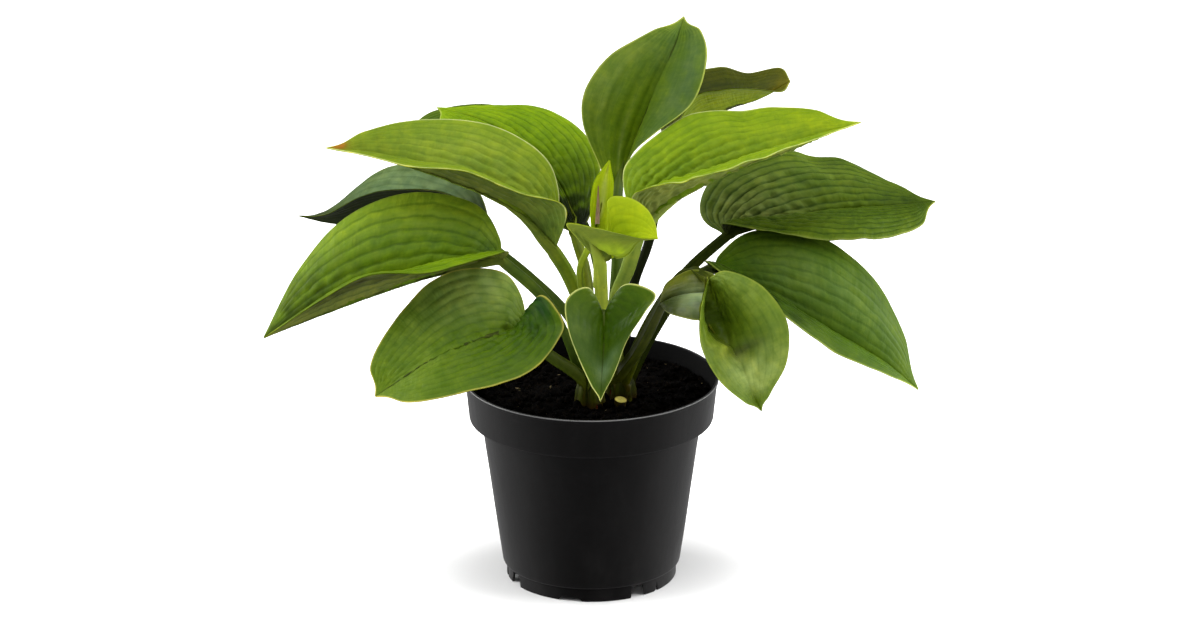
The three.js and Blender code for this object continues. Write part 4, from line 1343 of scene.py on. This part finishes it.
    def stem(self) -> Shell:
        """The stalk: a crescent section carried from its foot to the blade and on below the midrib.

        Returns:
            The stalk. Its last rings sink into the blade and thin out over the look's spur.
        """
        form = self.form
        feet = np.array([(*form.foot, z) for z in FOOT_HEIGHTS], float)
        path = np.vstack([feet, np.array(form.stalk, float), np.array(form.mid[:1], float)])
        girth = np.array([*FOOT_GIRTH, *form.girth])
        t = np.linspace(0, 1, STALK_RINGS)
        centres = spline(path, t)
        radii = np.interp(t, np.linspace(0, 1, len(girth)), girth)
        points, normal, _ = self.sheet(np.concatenate([[0.005], RUN]), np.array([-0.02, 0, 0.02]))
        up = normal[1:, 1]  # along the midrib, the middle of the three columns
        shrink = girth[-1] * (1 - smooth(RUN, -0.1, self.look.spur)) + 0.35
        below = points[1:, 1] - up * (shrink * 0.45 + self.half)[:, None]
        sink = 0.35 * smooth(t, 0.8, 1) * girth[-1]
        centres = np.vstack([centres - up[0] * sink[:, None], below])
        radii = np.concatenate([radii, shrink])
        tangents = unit(np.gradient(centres, axis=0))
        top = carried(tangents, up[-1])
        side = np.cross(top, tangents)
        x, y = crescent(STALK_SIDES)
        spokes = x[:, None] * side[:, None] + y[:, None] * top[:, None]
        shell = hose(centres[:, None] + radii[:, None, None] * spokes)
        shell.skin = self.stem_skin(centres, x, y)
        return shell

    def run_out(self) -> Shell:
        """The stalk's run-out.

        Returns:
            A rod that thins into the blade's underside and takes on its colour.
        """
        t = np.linspace(0, 1, ROD_STEPS)
        stations = spline(np.array(self.look.gusset, float), t)
        radii = np.maximum(stations[:, 3], 0.2)
        shell = hose(rod(stations[:, :3], radii, (0.0, 1.0, 0.2), ROD_STEPS))
        fade = np.repeat(smooth(t, 0.3, 1), ROD_STEPS)[:, None]
        tint = capped(linear(*self.look.stalk) * (1 - fade) + linear(*self.look.under) * fade)
        rows = [np.tile(row, (len(tint), 1)) for row in ([0.5, 0.0, 1.4], [0.0, 0.0, 1.0], [0.5, 0.0, 0.02])]
        shell.skin = Skin(tint, *rows)
        return shell

    def stem_skin(self, centres: Array, x: Array, y: Array) -> Skin:
        """Skin of the stalk.

        Args:
            centres: the middles of its rings.
            x: the section's points, across.
            y: the section's points, upward.

        Returns:
            The skin: pale and earthy near its foot, with painted shade in its channel, and faint lines along
                it.
        """
        stalk, under = linear(*self.look.stalk), linear(*self.look.under)
        n, sides = len(centres), len(x)
        foot = (1 - smooth(centres[:, 2], 128, 160))[:, None, None]
        # painted shade: the channel on the stalk's upper side is darker
        channel = (smooth(y, -0.3, 0.1) * (1 - np.abs(x)) * 0.6)[None, :, None]
        base = 1 - smooth(centres[:, 2], 133, 148)[:, None, None]
        earth = linear(74, 84, 4) * (1 - base) + linear(56, 44, 6) * base
        tint = stalk * (1 - 0.5 * channel) * (1 - 0.85 * foot) + earth * 0.85 * foot
        tint = tint + (under - tint) * 0.6 * smooth(np.arange(n), n - 14, n)[:, None, None]
        tint = np.broadcast_to(tint, (n, sides, 3)).reshape(-1, 3)
        angle = np.broadcast_to(np.linspace(0, 9, sides)[None, :], (n, sides))
        along = np.broadcast_to(travelled(centres)[:, None], (n, sides))
        blade = np.stack([angle, along, 0 * angle + 1.4], -1).reshape(-1, 3)
        mask = np.tile([0.0, 0.0, 1.0], (n * sides, 1))
        finish = np.tile([0.5, 0.12, 0.02], (n * sides, 1))
        return Skin(*(capped(values) for values in (tint, blade, mask, finish)))

    def make(self, wardrobe: Wardrobe) -> bpy.types.Object:
        """Builds the leaf and puts it on the plant's body in place of its node.

        Args:
            wardrobe: maker of the materials.

        Returns:
            The leaf.
        """
        shells = [self.blade(), self.stem()] + ([self.run_out()] if self.look.gusset else [])
        piece = build(self.name + "_fine", joined(shells), wardrobe.get(self.look.slot))
        return fit(piece, self.look.slot, self.name)


def nearness(mark: TintAndLightPatch | Dent, t: Array, s: Array) -> Array:
    """How near places on a blade are to a mark.

    Args:
        mark: the patch of colour or the dent.
        t: fractions along.
        s: signed fractions across.

    Returns:
        exp(-(dt / a)^2 - (ds / b)^2), where a and b are the mark's reach: 1 at its middle.
    """
    along, across = (t - mark.at[0]) / mark.reach[0], (s - mark.at[1]) / mark.reach[1]
    return np.exp(-(along**2 + across**2))


def crescent(sides: int) -> tuple[Array, Array]:
    """Section of a stalk of radius 1: a half ellipse below, a shallow channel above.

    Args:
        sides: number of points.

    Returns:
        The points' x and y, counter-clockwise.
    """
    angle = math.pi + (np.arange(sides) + 0.5) * 2 * math.pi / sides
    x = np.cos(angle)
    below = 0.6 * x**4 - 1.1 * np.sqrt(1 - x**2)
    above = 0.6 * x**2 + 0.2 * (1 - x**2)
    return x, np.where(np.sin(angle) < 0, below, above)


def fit(piece: bpy.types.Object, slot: Slot, *nodes: str) -> bpy.types.Object:
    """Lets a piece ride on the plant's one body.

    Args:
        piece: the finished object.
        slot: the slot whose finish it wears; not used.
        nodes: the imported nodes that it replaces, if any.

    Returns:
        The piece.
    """
    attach(piece, "root")
    if nodes:
        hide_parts(*nodes)
    return piece


# ---------------------------------------------------------------- pot
@dataclass
class Pot:
    """Thin round nursery pot with a stepped band, a notched foot ring and drain holes, in millimetres.

    Attributes:
        height: height of the rim.
        lip: radius over the lip.
        band_foot: height of the step under the band.
        band_top: radius of the band below the lip.
        band_bottom: radius of the band above the step.
        waist: radius of the wall below the step.
        heel: radius of the wall at its foot.
        floor: height of the raised floor.
        wall: thickness of the wall.
        ring: inner and outer radius of the foot ring.
        turn: degrees by which the foot ring's pattern is turned from the front.
        gap: degrees from a notch to each gap beside it.
        nick: degrees from a notch to each narrow slot beside it.
        drain_circle: radius of the circle of drain holes.
        drain: radius of a drain hole.
        sides: steps round the pot.
        holes: degrees of the drain holes from the pattern's front.
    """

    height: float = 140
    lip: float = 85.6
    band_foot: float = 112
    band_top: float = 84.9
    band_bottom: float = 82.2
    waist: float = 74.3
    heel: float = 60
    floor: float = 10
    wall: float = 1.4
    ring: tuple[float, float] = (56, 57.5)
    turn: float = -14.7
    gap: float = 47.7
    nick: float = 64.5
    drain_circle: float = 46
    drain: float = 5
    sides: int = 288
    holes: tuple[float, ...] = (0, 47.7, -47.7, 180, 227.7, 132.3)

    def outline(self) -> Array:
        """Profile from the middle of the underside, out and up over the lip and down the inside to the floor.

        Returns:
            Rows of radius and height, every corner rounded.
        """
        under, inner, step = self.floor - 1.5, self.floor + 0.5, self.band_foot + self.wall
        ring_in, ring_out = self.ring
        turns = [
            (22, 0, 0.8), (26, under, 1.2), (ring_in, under, 0.5), (ring_in, 0, 0.3), (ring_out, 0, 0.5),
            (ring_out, self.floor, 0.6), (self.heel, self.floor, 1.6), (self.waist, self.band_foot, 1.0),
            (self.band_bottom, self.band_foot, 1.3), (self.band_top, self.height - 2, 0.5),
            (self.lip, self.height - 1.5, 0.3), (self.lip, self.height, 0.45),
            (self.lip - 2.1, self.height, 0.45), (self.band_bottom - self.wall, step, 0.8),
            (self.waist - self.wall, step, 1.2), (self.heel - self.wall, inner, 1.0),
            (24.5, inner, 1.0), (20.5, 2, 0.8),
        ]
        return np.vstack([[(0.01, 0.0)], rounded(np.array(turns)), [(0.01, 2.0)]])

    def shell(self) -> Shell:
        """The pot's wall as a turned profile.

        Returns:
            The wall. Its foot ring is cut short in notches, gaps and slots that come again after half a
            turn, and above its foot the wall is slightly uneven.
        """
        grid = spun(filled(self.outline(), 3.0), self.sides)
        angle = np.degrees(np.arctan2(grid[..., 1], grid[..., 0])) + 90 - self.turn
        from_notch = np.abs((angle + 90) % 180 - 90)
        notch = 1 - smooth(from_notch, 7.0, 8.0)
        part = 1 - smooth(np.abs(from_notch - self.gap), 4.5, 5.5)
        slot = 1 - smooth(np.abs(from_notch - self.nick), 0.5, 1.2)
        lift = np.maximum(1.7 * notch, 8.2 * np.maximum(part, slot))
        radius = np.hypot(grid[..., 0], grid[..., 1])
        on_ring = (radius > self.ring[0] - 0.6) & (radius < self.ring[1] + 0.6)
        on_ring &= grid[..., 2] < self.floor - 1.6
        grid[..., 2] = np.where(on_ring, np.maximum(grid[..., 2], lift), grid[..., 2])
        high = smooth(grid[..., 2], 12, 40)
        dent = 0.35 * ripple(grid * np.array([1, 1, 0.6]), 75.0, 5, 2) * high
        grid[..., :2] *= (1 + dent / np.maximum(radius, 20))[..., None]
        shell = hose(grid)
        shell.vertices[-2:] = [(0, 0, 0), (0, 0, 2)]
        return shell

    def make(self, wardrobe: Wardrobe) -> bpy.types.Object:
        """Builds the pot and drills its drain holes.

        Args:
            wardrobe: maker of the materials.

        Returns:
            The pot.
        """
        piece = build("pot_fine", self.shell(), wardrobe.get(Slot.POT))
        bar = spun(np.array([(self.drain, z) for z in (6.0, 12.0)]), 32)
        angles = [math.radians(self.turn - 90 + degrees) for degrees in self.holes]
        drills = [
            hose(bar + np.array([self.drain_circle * math.cos(a), self.drain_circle * math.sin(a), 0]))
            for a in angles
        ]
        tool = build("drills", joined(drills), wardrobe.get(Slot.POT))
        cut = piece.modifiers.new("drain", "BOOLEAN")
        cut.object = tool
        cut.solver = "EXACT"
        piece.data = settled(piece)
        bpy.data.objects.remove(tool)
        return fit(piece, Slot.POT, "pot")


def settled(piece: bpy.types.Object) -> bpy.types.Mesh:
    """Applies a piece's modifiers and removes them.

    Args:
        piece: the object.

    Returns:
        A mesh of its finished shape.
    """
    bpy.context.view_layer.update()
    graph = bpy.context.evaluated_depsgraph_get()
    mesh = bpy.data.meshes.new_from_object(piece.evaluated_get(graph))
    piece.modifiers.clear()
    return mesh


def rounded(outline: Array, steps: int = 5) -> Array:
    """Rounds the corners of an open outline.

    Args:
        outline: rows of x, y and rounding length; a corner is cut that far before and after it.
        steps: points on each rounding.

    Returns:
        Rows of x and y: a corner p becomes the parabola a (1 - w)^2 + 2 p w (1 - w) + b w^2 from the cut a
        before it to the cut b after it.
    """
    at, cut = outline[:, :2], outline[:, 2:]
    cuts = []
    for other in (np.vstack([at[:1], at[:-1]]), np.vstack([at[1:], at[-1:]])):
        room = np.linalg.norm(other - at, axis=1, keepdims=True) * 0.45
        cuts.append(at + unit(other - at) * np.minimum(cut, room))
    w = np.linspace(0, 1, steps)[None, :, None]
    bend = cuts[0][:, None] * (1 - w) ** 2 + 2 * at[:, None] * w * (1 - w) + cuts[1][:, None] * w**2
    return bend.reshape(-1, 2)


def filled(outline: Array, longest: float) -> Array:
    """Adds points on the long stretches of an outline.

    Args:
        outline: rows of x and y.
        longest: longest stretch that may stay.

    Returns:
        The outline's points and those added, in order.
    """
    pieces = []
    for a, b in zip(outline[:-1], outline[1:]):
        count = max(1, math.ceil(np.linalg.norm(b - a) / longest))
        pieces.append(a + (b - a) * np.linspace(0, 1, count, endpoint=False)[:, None])
    return np.vstack([*pieces, outline[-1:]])


# ---------------------------------------------------------------- soil
@dataclass
class Soil:
    """Peat mix: a solid fill with a crumbly top, and loose crumbs, fibres and bark chips on it.

    Attributes:
        level: height of its surface in mm.
        top: radius of its surface in mm.
        rows: rings of the surface.
        sides: steps round it.
        crumbs: number of crumbs.
        fibres: number of fibres.
        chips: number of bark chips.
        inside: radius and height down the pot's inside and across its floor.
    """

    level: float = 128
    top: float = 81.2
    rows: int = 90
    sides: int = 240
    crumbs: int = 900
    fibres: int = 160
    chips: int = 70
    inside: tuple[tuple[float, float], ...] = (
        (80, 114.1), (72.2, 114.1), (58.0, 11.0), (58.0, 10.5), (24.0, 10.5), (20.0, 2.0), (0.01, 2.0),
    )

    def height(self, p: Array) -> Array:
        """Height of the surface.

        Args:
            p: points, x and y first on the last axis.

        Returns:
            The level, two crossed waves and a hollow exp(-d^2 / 30^2), then finer grain.
        """
        x, y = p[..., 0], p[..., 1]
        broad = 0.9 * np.sin(0.11 * x + 0.6) * np.cos(0.09 * y) + 0.6 * np.sin(0.23 * y - 0.17 * x + 1.1)
        hollow = 0.8 * np.exp(-((x - 40) ** 2 + (y + 20) ** 2) / 900)
        grain = 1.1 * ripple(p[..., :2], 16.0, 21, 3) + 0.5 * ripple(p[..., :2], 4.0, 22, 2)
        return self.level + broad - hollow + grain

    def body(self) -> Shell:
        """The fill.

        Returns:
            Its top as rings, then down the pot's inside and across the floor.
        """
        radii = np.linspace(0.02, 1, self.rows) ** 0.8 * self.top
        profile = np.vstack([np.stack([radii, 0 * radii], 1), np.array(self.inside)])
        grid = spun(profile, self.sides)
        grid[: self.rows, :, 2] = self.height(grid[: self.rows])
        return hose(grid[::-1])

    def bits(self, count: int, size: tuple[float, float], seed: int, shape: Point) -> Shell:
        """Loose bits strewn on the surface as small bumpy lumps.

        Args:
            count: how many.
            size: smallest and largest half width in mm.
            seed: seed of their places, sizes and turns.
            shape: stretch of a lump along, across and up.

        Returns:
            All of them as one shell.
        """
        rng = np.random.default_rng(seed)
        lump = ball(6, 8)
        radius = np.sqrt(rng.uniform(0.02, 1, count)) * (self.top - 3)
        angle = rng.uniform(0, 2 * math.pi, count)
        place = np.stack([radius * np.cos(angle), radius * np.sin(angle)], -1)
        scale = size[0] + (size[1] - size[0]) * rng.uniform(0, 1, count) ** 2.5
        turns = np.linalg.qr(rng.normal(size=(count, 3, 3)) * 0.5 + np.eye(3))[0]
        bumps = 1 + 0.22 * rng.normal(size=(count, len(lump.vertices), 1))
        shaped = lump.vertices[None] * np.array(shape) * bumps
        points = np.einsum("nij,nkj->nki", turns, shaped * scale[:, None, None])
        rise = self.height(place) + 0.25 * scale
        points += np.concatenate([place, rise[:, None]], 1)[:, None]
        starts = np.arange(count)[:, None, None] * len(lump.vertices)
        faces = [(f[None] + starts).reshape(-1, f.shape[1]) for f in lump.faces]
        return Shell(points.reshape(-1, 3), faces)

    def make(self, wardrobe: Wardrobe) -> list[bpy.types.Object]:
        """Builds the peat.

        Args:
            wardrobe: maker of the materials.

        Returns:
            The fill with its crumbs and fibres, and the chips as a piece of their own.
        """
        crumbs = self.bits(self.crumbs, (0.7, 3.4), 31, (1.2, 1.0, 0.8))
        fibres = self.bits(self.fibres, (0.8, 2.2), 33, (3.2, 0.3, 0.3))
        fill = build("soil_fine", joined([self.body(), crumbs, fibres]), wardrobe.get(Slot.SOIL))
        chips = self.bits(self.chips, (0.35, 1.1), 32, (1.6, 0.8, 0.4))
        shade = np.random.default_rng(34).uniform(0.25, 1.0, self.chips)
        shade = np.repeat(shade, len(chips.vertices) // self.chips)[:, None]
        chips.skin = plain_skin(linear(132, 118, 88) * shade)
        loose = build("soil_chips", chips, wardrobe.get(Slot.SHEATH))
        return [fit(fill, Slot.SOIL, "soil"), fit(loose, Slot.SHEATH)]


def ball(rows: int, sides: int) -> Shell:
    """Ball of radius 1.

    Args:
        rows: steps from pole to pole.
        sides: steps round it.

    Returns:
        The ball, with a point at each pole.
    """
    polar = np.linspace(0, math.pi, rows + 1)[1:-1]
    shell = hose(spun(np.stack([np.sin(polar), -np.cos(polar)], 1), sides))
    shell.vertices[-2:] = [(0, 0, -1), (0, 0, 1)]
    return shell


# ---------------------------------------------------------------- crown and sheath
SHOOTS_PART = 9  # x in mm that parts the feet of the left shoot from those of the right
SHOOT_RINGS, SHOOT_SIDES = 34, 96
LIMB_RINGS, LIMB_SIDES = 18, 20
ROOTS = (
    (((2, -20, 110), (-18, -36, 92), (-32, -42, 66), (-38, -36, 44)), (3, 2.2, 1.4)),
    (((14, -18, 108), (22, -42, 90), (26, -50, 64), (20, -52, 38)), (3, 2.2, 1.4)),
    (((20, -6, 110), (42, 4, 94), (52, 12, 70), (48, 16, 46)), (3, 2.2, 1.4)),
    (((8, -4, 108), (2, 22, 92), (-6, 40, 68), (-4, 46, 42)), (3, 2.2, 1.4)),
    (((-4, -14, 108), (-30, -2, 88), (-44, 8, 62), (-42, 14, 40)), (2.8, 2, 1.4)),
)
CUT_STALK = (((17.5, -19, 118), (18.8, -21.2, 126), (19.6, -22.4, 131.8)), (3.6, 3.8, 4.3))


@dataclass
class Crown:
    """Rootstock with two shoots: the stalks' sheathing bases clasp each other; one old stalk is cut off.

    Attributes:
        base: height in mm where the shoots begin.
        top: height in mm where they are closed.
        wrap: radius in mm of one stalk's sheathing base.
    """

    base: float = 108
    top: float = 147
    wrap: float = 3.9

    def bundle(self, feet: Array, seed: int) -> Shell:
        """One shoot: the joined outline of its stalks' bases, closed by a dome between them.

        Args:
            feet: x and y of the stalks' feet.
            seed: seed of its unevenness.

        Returns:
            The shoot. In each direction its radius is the farthest reach of a base, which for a foot at
            distance d and angle b from that direction is d cos b + sqrt(w^2 - (d sin b)^2).
        """
        middle = feet.mean(0)
        reach = np.linalg.norm(feet - middle, axis=1)[:, None]
        toward = np.arctan2(*(feet - middle).T[::-1])[:, None]
        angle = np.arange(SHOOT_SIDES) * 2 * math.pi / SHOOT_SIDES
        aside = reach * np.sin(angle - toward)
        out = reach * np.cos(angle - toward) + np.sqrt(np.maximum(self.wrap**2 - aside**2, 0))
        radius = np.maximum(np.where(np.abs(aside) < self.wrap, out, 0).max(0), 4.5)
        radius = sum(np.roll(radius, k) for k in (2, 1, 0, -1, -2)) / 5
        t = np.linspace(0, 1, SHOOT_RINGS)[:, None]
        close = np.sqrt(np.clip(1 - np.clip((t - 0.72) / 0.28, 0, 1) ** 2, 0.0004, 1))
        flare = 1.12 - 0.16 * smooth(t, 0.3, 0.9)
        grid = np.stack([radius * turn(angle) * flare * close for turn in (np.cos, np.sin)], -1)
        z = self.base + (self.top - self.base) * t + 0 * angle
        rings = np.concatenate([grid + middle, z[..., None]], -1)
        rings[..., :2] += 0.25 * ripple(rings * np.array([1, 1, 0.3]), 7.0, seed, 2)[..., None]
        shell = hose(rings)
        low = (1 - smooth(z, 126, 136))[..., None]
        # painted shade: the colour is darker, down to half, in the grooves between the stalks' bases
        groove = (1 - 0.5 * (1 - smooth(radius, radius.min(), radius.max())))[None, :, None]
        tint = (linear(54, 62, 5) * (1 - low) + linear(56, 38, 8) * low) * groove
        shell.skin = plain_skin(capped(tint.reshape(-1, 3)))
        return shell

    def husk(self, at: tuple[float, float], wide: float, tall: float, shade: Array) -> Shell:
        """A dry scale at the foot of a shoot: a thin pointed strip that leans out.

        Args:
            at: x and y of its foot.
            wide: its half width in mm.
            tall: its height in mm.
            shade: linear colour.

        Returns:
            The scale.
        """
        centre = feet_of(at[0] > SHOOTS_PART).mean(0)
        out = unit(np.array([*(np.array(at) - centre), 0.0]))
        side = np.array([-out[1], out[0], 0.0])
        t, s = np.linspace(0, 1, 12)[:, None, None], np.linspace(-1, 1, 9)[None, :, None]
        foot = np.array([*at, 125.0])
        width = wide * (1 - t**1.6)
        sheet = foot + side * width * s + out * (0.9 * t**2 - 0.7 * s**2) + np.array([0, 0, tall]) * t
        shell = strip(sheet, 0.15 * out)
        shell.skin = plain_skin(np.tile(shade, (len(shell.vertices), 1)))
        return shell

    def rootstock(self) -> Shell:
        """What the shoots stand on.

        Returns:
            An ellipsoid, turned about Z.
        """
        shell = ball(16, 28)
        turn = math.radians(34)
        cos, sin = math.cos(turn), math.sin(turn)
        spin = np.array([[cos, -sin, 0], [sin, cos, 0], [0, 0, 1]])
        half = np.array([18.4, 13.6, 11.2])
        shell.vertices = (shell.vertices * half) @ spin.T + np.array([9.5, -12, 112])
        shell.skin = plain_skin(np.tile(linear(110, 82, 44), (len(shell.vertices), 1)))
        return shell

    def limb(self, path: tuple[Point, ...], girth: tuple[float, ...], shade: Array,
             end: Array) -> Shell:
        """A root or the cut stalk: a round rod with a blunt end.

        Args:
            path: its points.
            girth: its radius at equal steps.
            shade: linear colour of its side.
            end: linear colour of its far end.

        Returns:
            The limb.
        """
        t = np.linspace(0, 1, LIMB_RINGS)
        centres = spline(np.array(path, float), t)
        radii = np.interp(t, np.linspace(0, 1, len(girth)), girth)
        rings = rod(centres, radii, (1.0, 0.0, 0.0), LIMB_SIDES)
        ahead = unit(centres[-1] - centres[-2])
        rings = np.concatenate([rings, rings[-1:] * 0.82 + centres[-1] * 0.18 + ahead * 0.02])
        shell = hose(rings)
        tint = np.tile(shade, (len(shell.vertices), 1))
        tint[-LIMB_SIDES - 2 : -2] = tint[-1] = end
        shell.skin = plain_skin(tint)
        return shell

    def make(self, wardrobe: Wardrobe) -> bpy.types.Object:
        """Builds the crown with its roots.

        Args:
            wardrobe: maker of the materials.

        Returns:
            The crown.
        """
        shoots = [self.bundle(feet_of(right), 50 + right) for right in (False, True)]
        straw, rust, olive = linear(112, 104, 40), linear(74, 34, 12), linear(62, 64, 8)
        husks = [
            self.husk((-8.6, -23), 2.6, 11, olive), self.husk((-9.6, -17.5), 1.2, 9, straw),
            self.husk((13.2, -11.5), 3.0, 10, rust), self.husk((3.5, -28.5), 2.2, 6, rust),
            self.husk((26, -14), 2.5, 7, olive),
        ]
        bark = linear(118, 90, 52)
        roots = [self.limb(path, girth, bark, bark) for path, girth in ROOTS]
        stub = self.limb(*CUT_STALK, linear(50, 42, 8), linear(196, 186, 96))
        shell = joined([self.rootstock(), *shoots, *husks, *roots, stub])
        return fit(build("crown_fine", shell, wardrobe.get(Slot.CROWN)), Slot.CROWN, "crown")


def feet_of(right: bool) -> Array:
    """Feet of the stalks of the right or the left shoot."""
    feet = np.array([form.foot for form in FORMS.values()], float)
    return feet[(feet[:, 0] > SHOOTS_PART) == right]


def strip(sheet: Array, out: Array) -> Shell:
    """Thickens a sheet evenly to both sides.

    Args:
        sheet: grid of points, rows by columns by 3.
        out: from the sheet's middle to one of its faces.

    Returns:
        The closed sheet, every face of the slab turned round.
    """
    shell = slab(sheet + out, sheet - out)
    shell.faces = [f[:, ::-1] for f in shell.faces]
    return shell


def plain_skin(tint: Array) -> Skin:
    """Skin with a tint alone."""
    zero = np.zeros_like(tint)
    return Skin(tint, zero, zero, zero)


@dataclass
class Sheath:
    """Thin dry bract standing in the roll of the spear, folded lengthwise.

    Attributes:
        path: points of its fold, in mm.
        width: its half width at the foot, in mm.
    """

    path: tuple[Point, ...] = ((4, -36.1, 260), (4.5, -33, 272), (4.7, -31.1, 285))
    width: float = 1.5

    def make(self, wardrobe: Wardrobe) -> bpy.types.Object:
        """Builds the bract.

        Args:
            wardrobe: maker of the materials.

        Returns:
            A strip with a shallow V section that narrows to its tip as 1 - 0.8 t^1.5.
        """
        t = np.linspace(0, 1, 40)
        centre = spline(np.array(self.path, float), t)[:, None]
        w = (self.width * (1 - 0.8 * t**1.5))[:, None]
        s = np.linspace(-1, 1, 11)[None, :]
        x = centre[..., 0] + w * s
        y = centre[..., 1] - 0.35 * w * np.abs(s) + 0.1
        z = centre[..., 2] + 0 * s - 1.5 * s**2 * (t[:, None] > 0.98)
        sheet = np.stack([x, y, z], -1)
        shell = strip(sheet, np.array([0, 0.12, 0]))
        tone = linear(168, 140, 122) * (1 - t[:, None, None]) + linear(140, 116, 70) * t[:, None, None]
        tint = np.broadcast_to(tone, sheet.shape).reshape(-1, 3)
        shell.skin = plain_skin(np.vstack([tint, tint]))
        return fit(build("sheath_fine", shell, wardrobe.get(Slot.SHEATH)), Slot.SHEATH, "sheath")


# ---------------------------------------------------------------- studio
@dataclass
class Studio:
    """Camera, floor and lights.

    Attributes:
        tilt: degrees that the camera looks down.
        distance: metres from the target to the camera.
        target: point in mm at the middle of the picture.
        lens: focal length in mm on a 36 mm wide sensor.
        aim: point in metres that the lights are turned to.
    """

    tilt: float = 19.3
    distance: float = 3.5
    target: Point = (5.8, 0, 183.8)
    lens: float = 156.9
    aim: Point = (0.0, 0.0, 0.2)

    def camera(self) -> None:
        """Places the camera, looking along +Y and down."""
        data = bpy.data.cameras.new("camera")
        data.lens = self.lens
        data.sensor_width = 36
        data.clip_end = 50
        camera = bpy.data.objects.new("camera", data)
        tilt = math.radians(self.tilt)
        back = Vector((0, -math.cos(tilt), math.sin(tilt))) * self.distance
        camera.location = Vector(self.target) * MM + back
        camera.rotation_euler = (math.pi / 2 - tilt, 0, 0)
        bpy.context.scene.collection.objects.link(camera)
        bpy.context.scene.camera = camera

    def floor(self) -> None:
        """A wide pale floor whose painted glow grows away from the pot, leaving painted shade round it."""
        size = 14.0
        mesh = bpy.data.meshes.new("floor")
        square = [(-size, -size, 0), (size, -size, 0), (size, size, 0), (-size, size, 0)]
        mesh.from_pydata(square, [], [(0, 1, 2, 3)])
        g = Graph(bpy.data.materials.new("floor_pale"))
        # painted light: the glow rises from nothing at the pot to full strength farther out, painting soft
        # shade round it
        away = g.step(g.length(g.spot()), 0.061, 0.17, 0.0, 0.62)
        glow = {"Emission Color": (1, 1, 1, 1), "Emission Strength": away}
        mesh.materials.append(g.finish(g.body((0.8, 0.8, 0.8, 1), 0.9, 0.0, glow)))
        floor = bpy.data.objects.new("floor", mesh)
        floor.visible_glossy = False
        bpy.context.scene.collection.objects.link(floor)

    def light(self, name: str, at: Point, size: tuple[float, float], power: float) -> bpy.types.Object:
        """A rectangular soft light that shines on the plant.

        Args:
            name: its name.
            at: where it stands, in metres.
            size: its width and height, in metres.
            power: its power, in watts.

        Returns:
            The light.
        """
        data = bpy.data.lights.new(name, "AREA")
        data.shape = "RECTANGLE"
        data.size, data.size_y = size
        data.energy = power
        lamp = bpy.data.objects.new(name, data)
        lamp.location = at
        lamp.rotation_euler = (Vector(self.aim) - Vector(at)).to_track_quat("-Z", "Y").to_euler()
        bpy.context.scene.collection.objects.link(lamp)
        return lamp

    def sky(self) -> None:
        """The light from all round: it grows upward, and below the horizon it is brighter behind."""
        g = Graph(bpy.data.worlds.new("studio"))
        _, y, z = g.parts(g.node("TexCoord").outputs["Generated"])
        behind = g.step(y, -0.85, 0.1, 0.0, 0.75, "LINEAR")
        below = g.step(z, 0.05, -0.1, 0.0, 1.0, "LINEAR")
        rise = g.step(z, -0.1, 0.8, 0.02, 0.55, "LINEAR")
        strength = g.math("MULTIPLY_ADD", behind, below, rise)
        sky = g.node("Background", {"Color": (1, 1, 1, 1), "Strength": strength})
        bpy.context.scene.world = g.finish(sky.outputs[0], "World")

    def make(self) -> None:
        """Builds the whole studio."""
        self.camera()
        self.floor()
        self.light("overhead", (-0.2, -0.35, 2.2), (2.0, 2.0), 50)
        self.light("left", (-1.5, 0.1, 0.6), (1.9, 1.3), 52)
        self.light("right", (1.5, 0.1, 0.6), (1.9, 1.3), 52)
        self.light("fill", (0.2, -3.0, 0.6), (2.4, 1.2), 10).visible_glossy = False
        self.sky()
        bpy.context.scene.view_settings.view_transform = "Standard"


def main() -> None:
    """Loads the frame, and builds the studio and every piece."""
    logging.basicConfig(level=logging.INFO, format="%(name)s %(message)s")
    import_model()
    Studio().make()
    wardrobe = Wardrobe()
    pieces = [Pot().make(wardrobe), *Soil().make(wardrobe), Crown().make(wardrobe)]
    for i, (name, form) in enumerate(FORMS.items()):
        pieces.append(Leaf(name, form, LOOKS[name], 100 + i).make(wardrobe))
    pieces.append(Sheath().make(wardrobe))
    for piece in pieces:
        LOG.info("%s: %d faces", piece.name, len(piece.data.polygons))


if __name__ == "__main__":
    main()
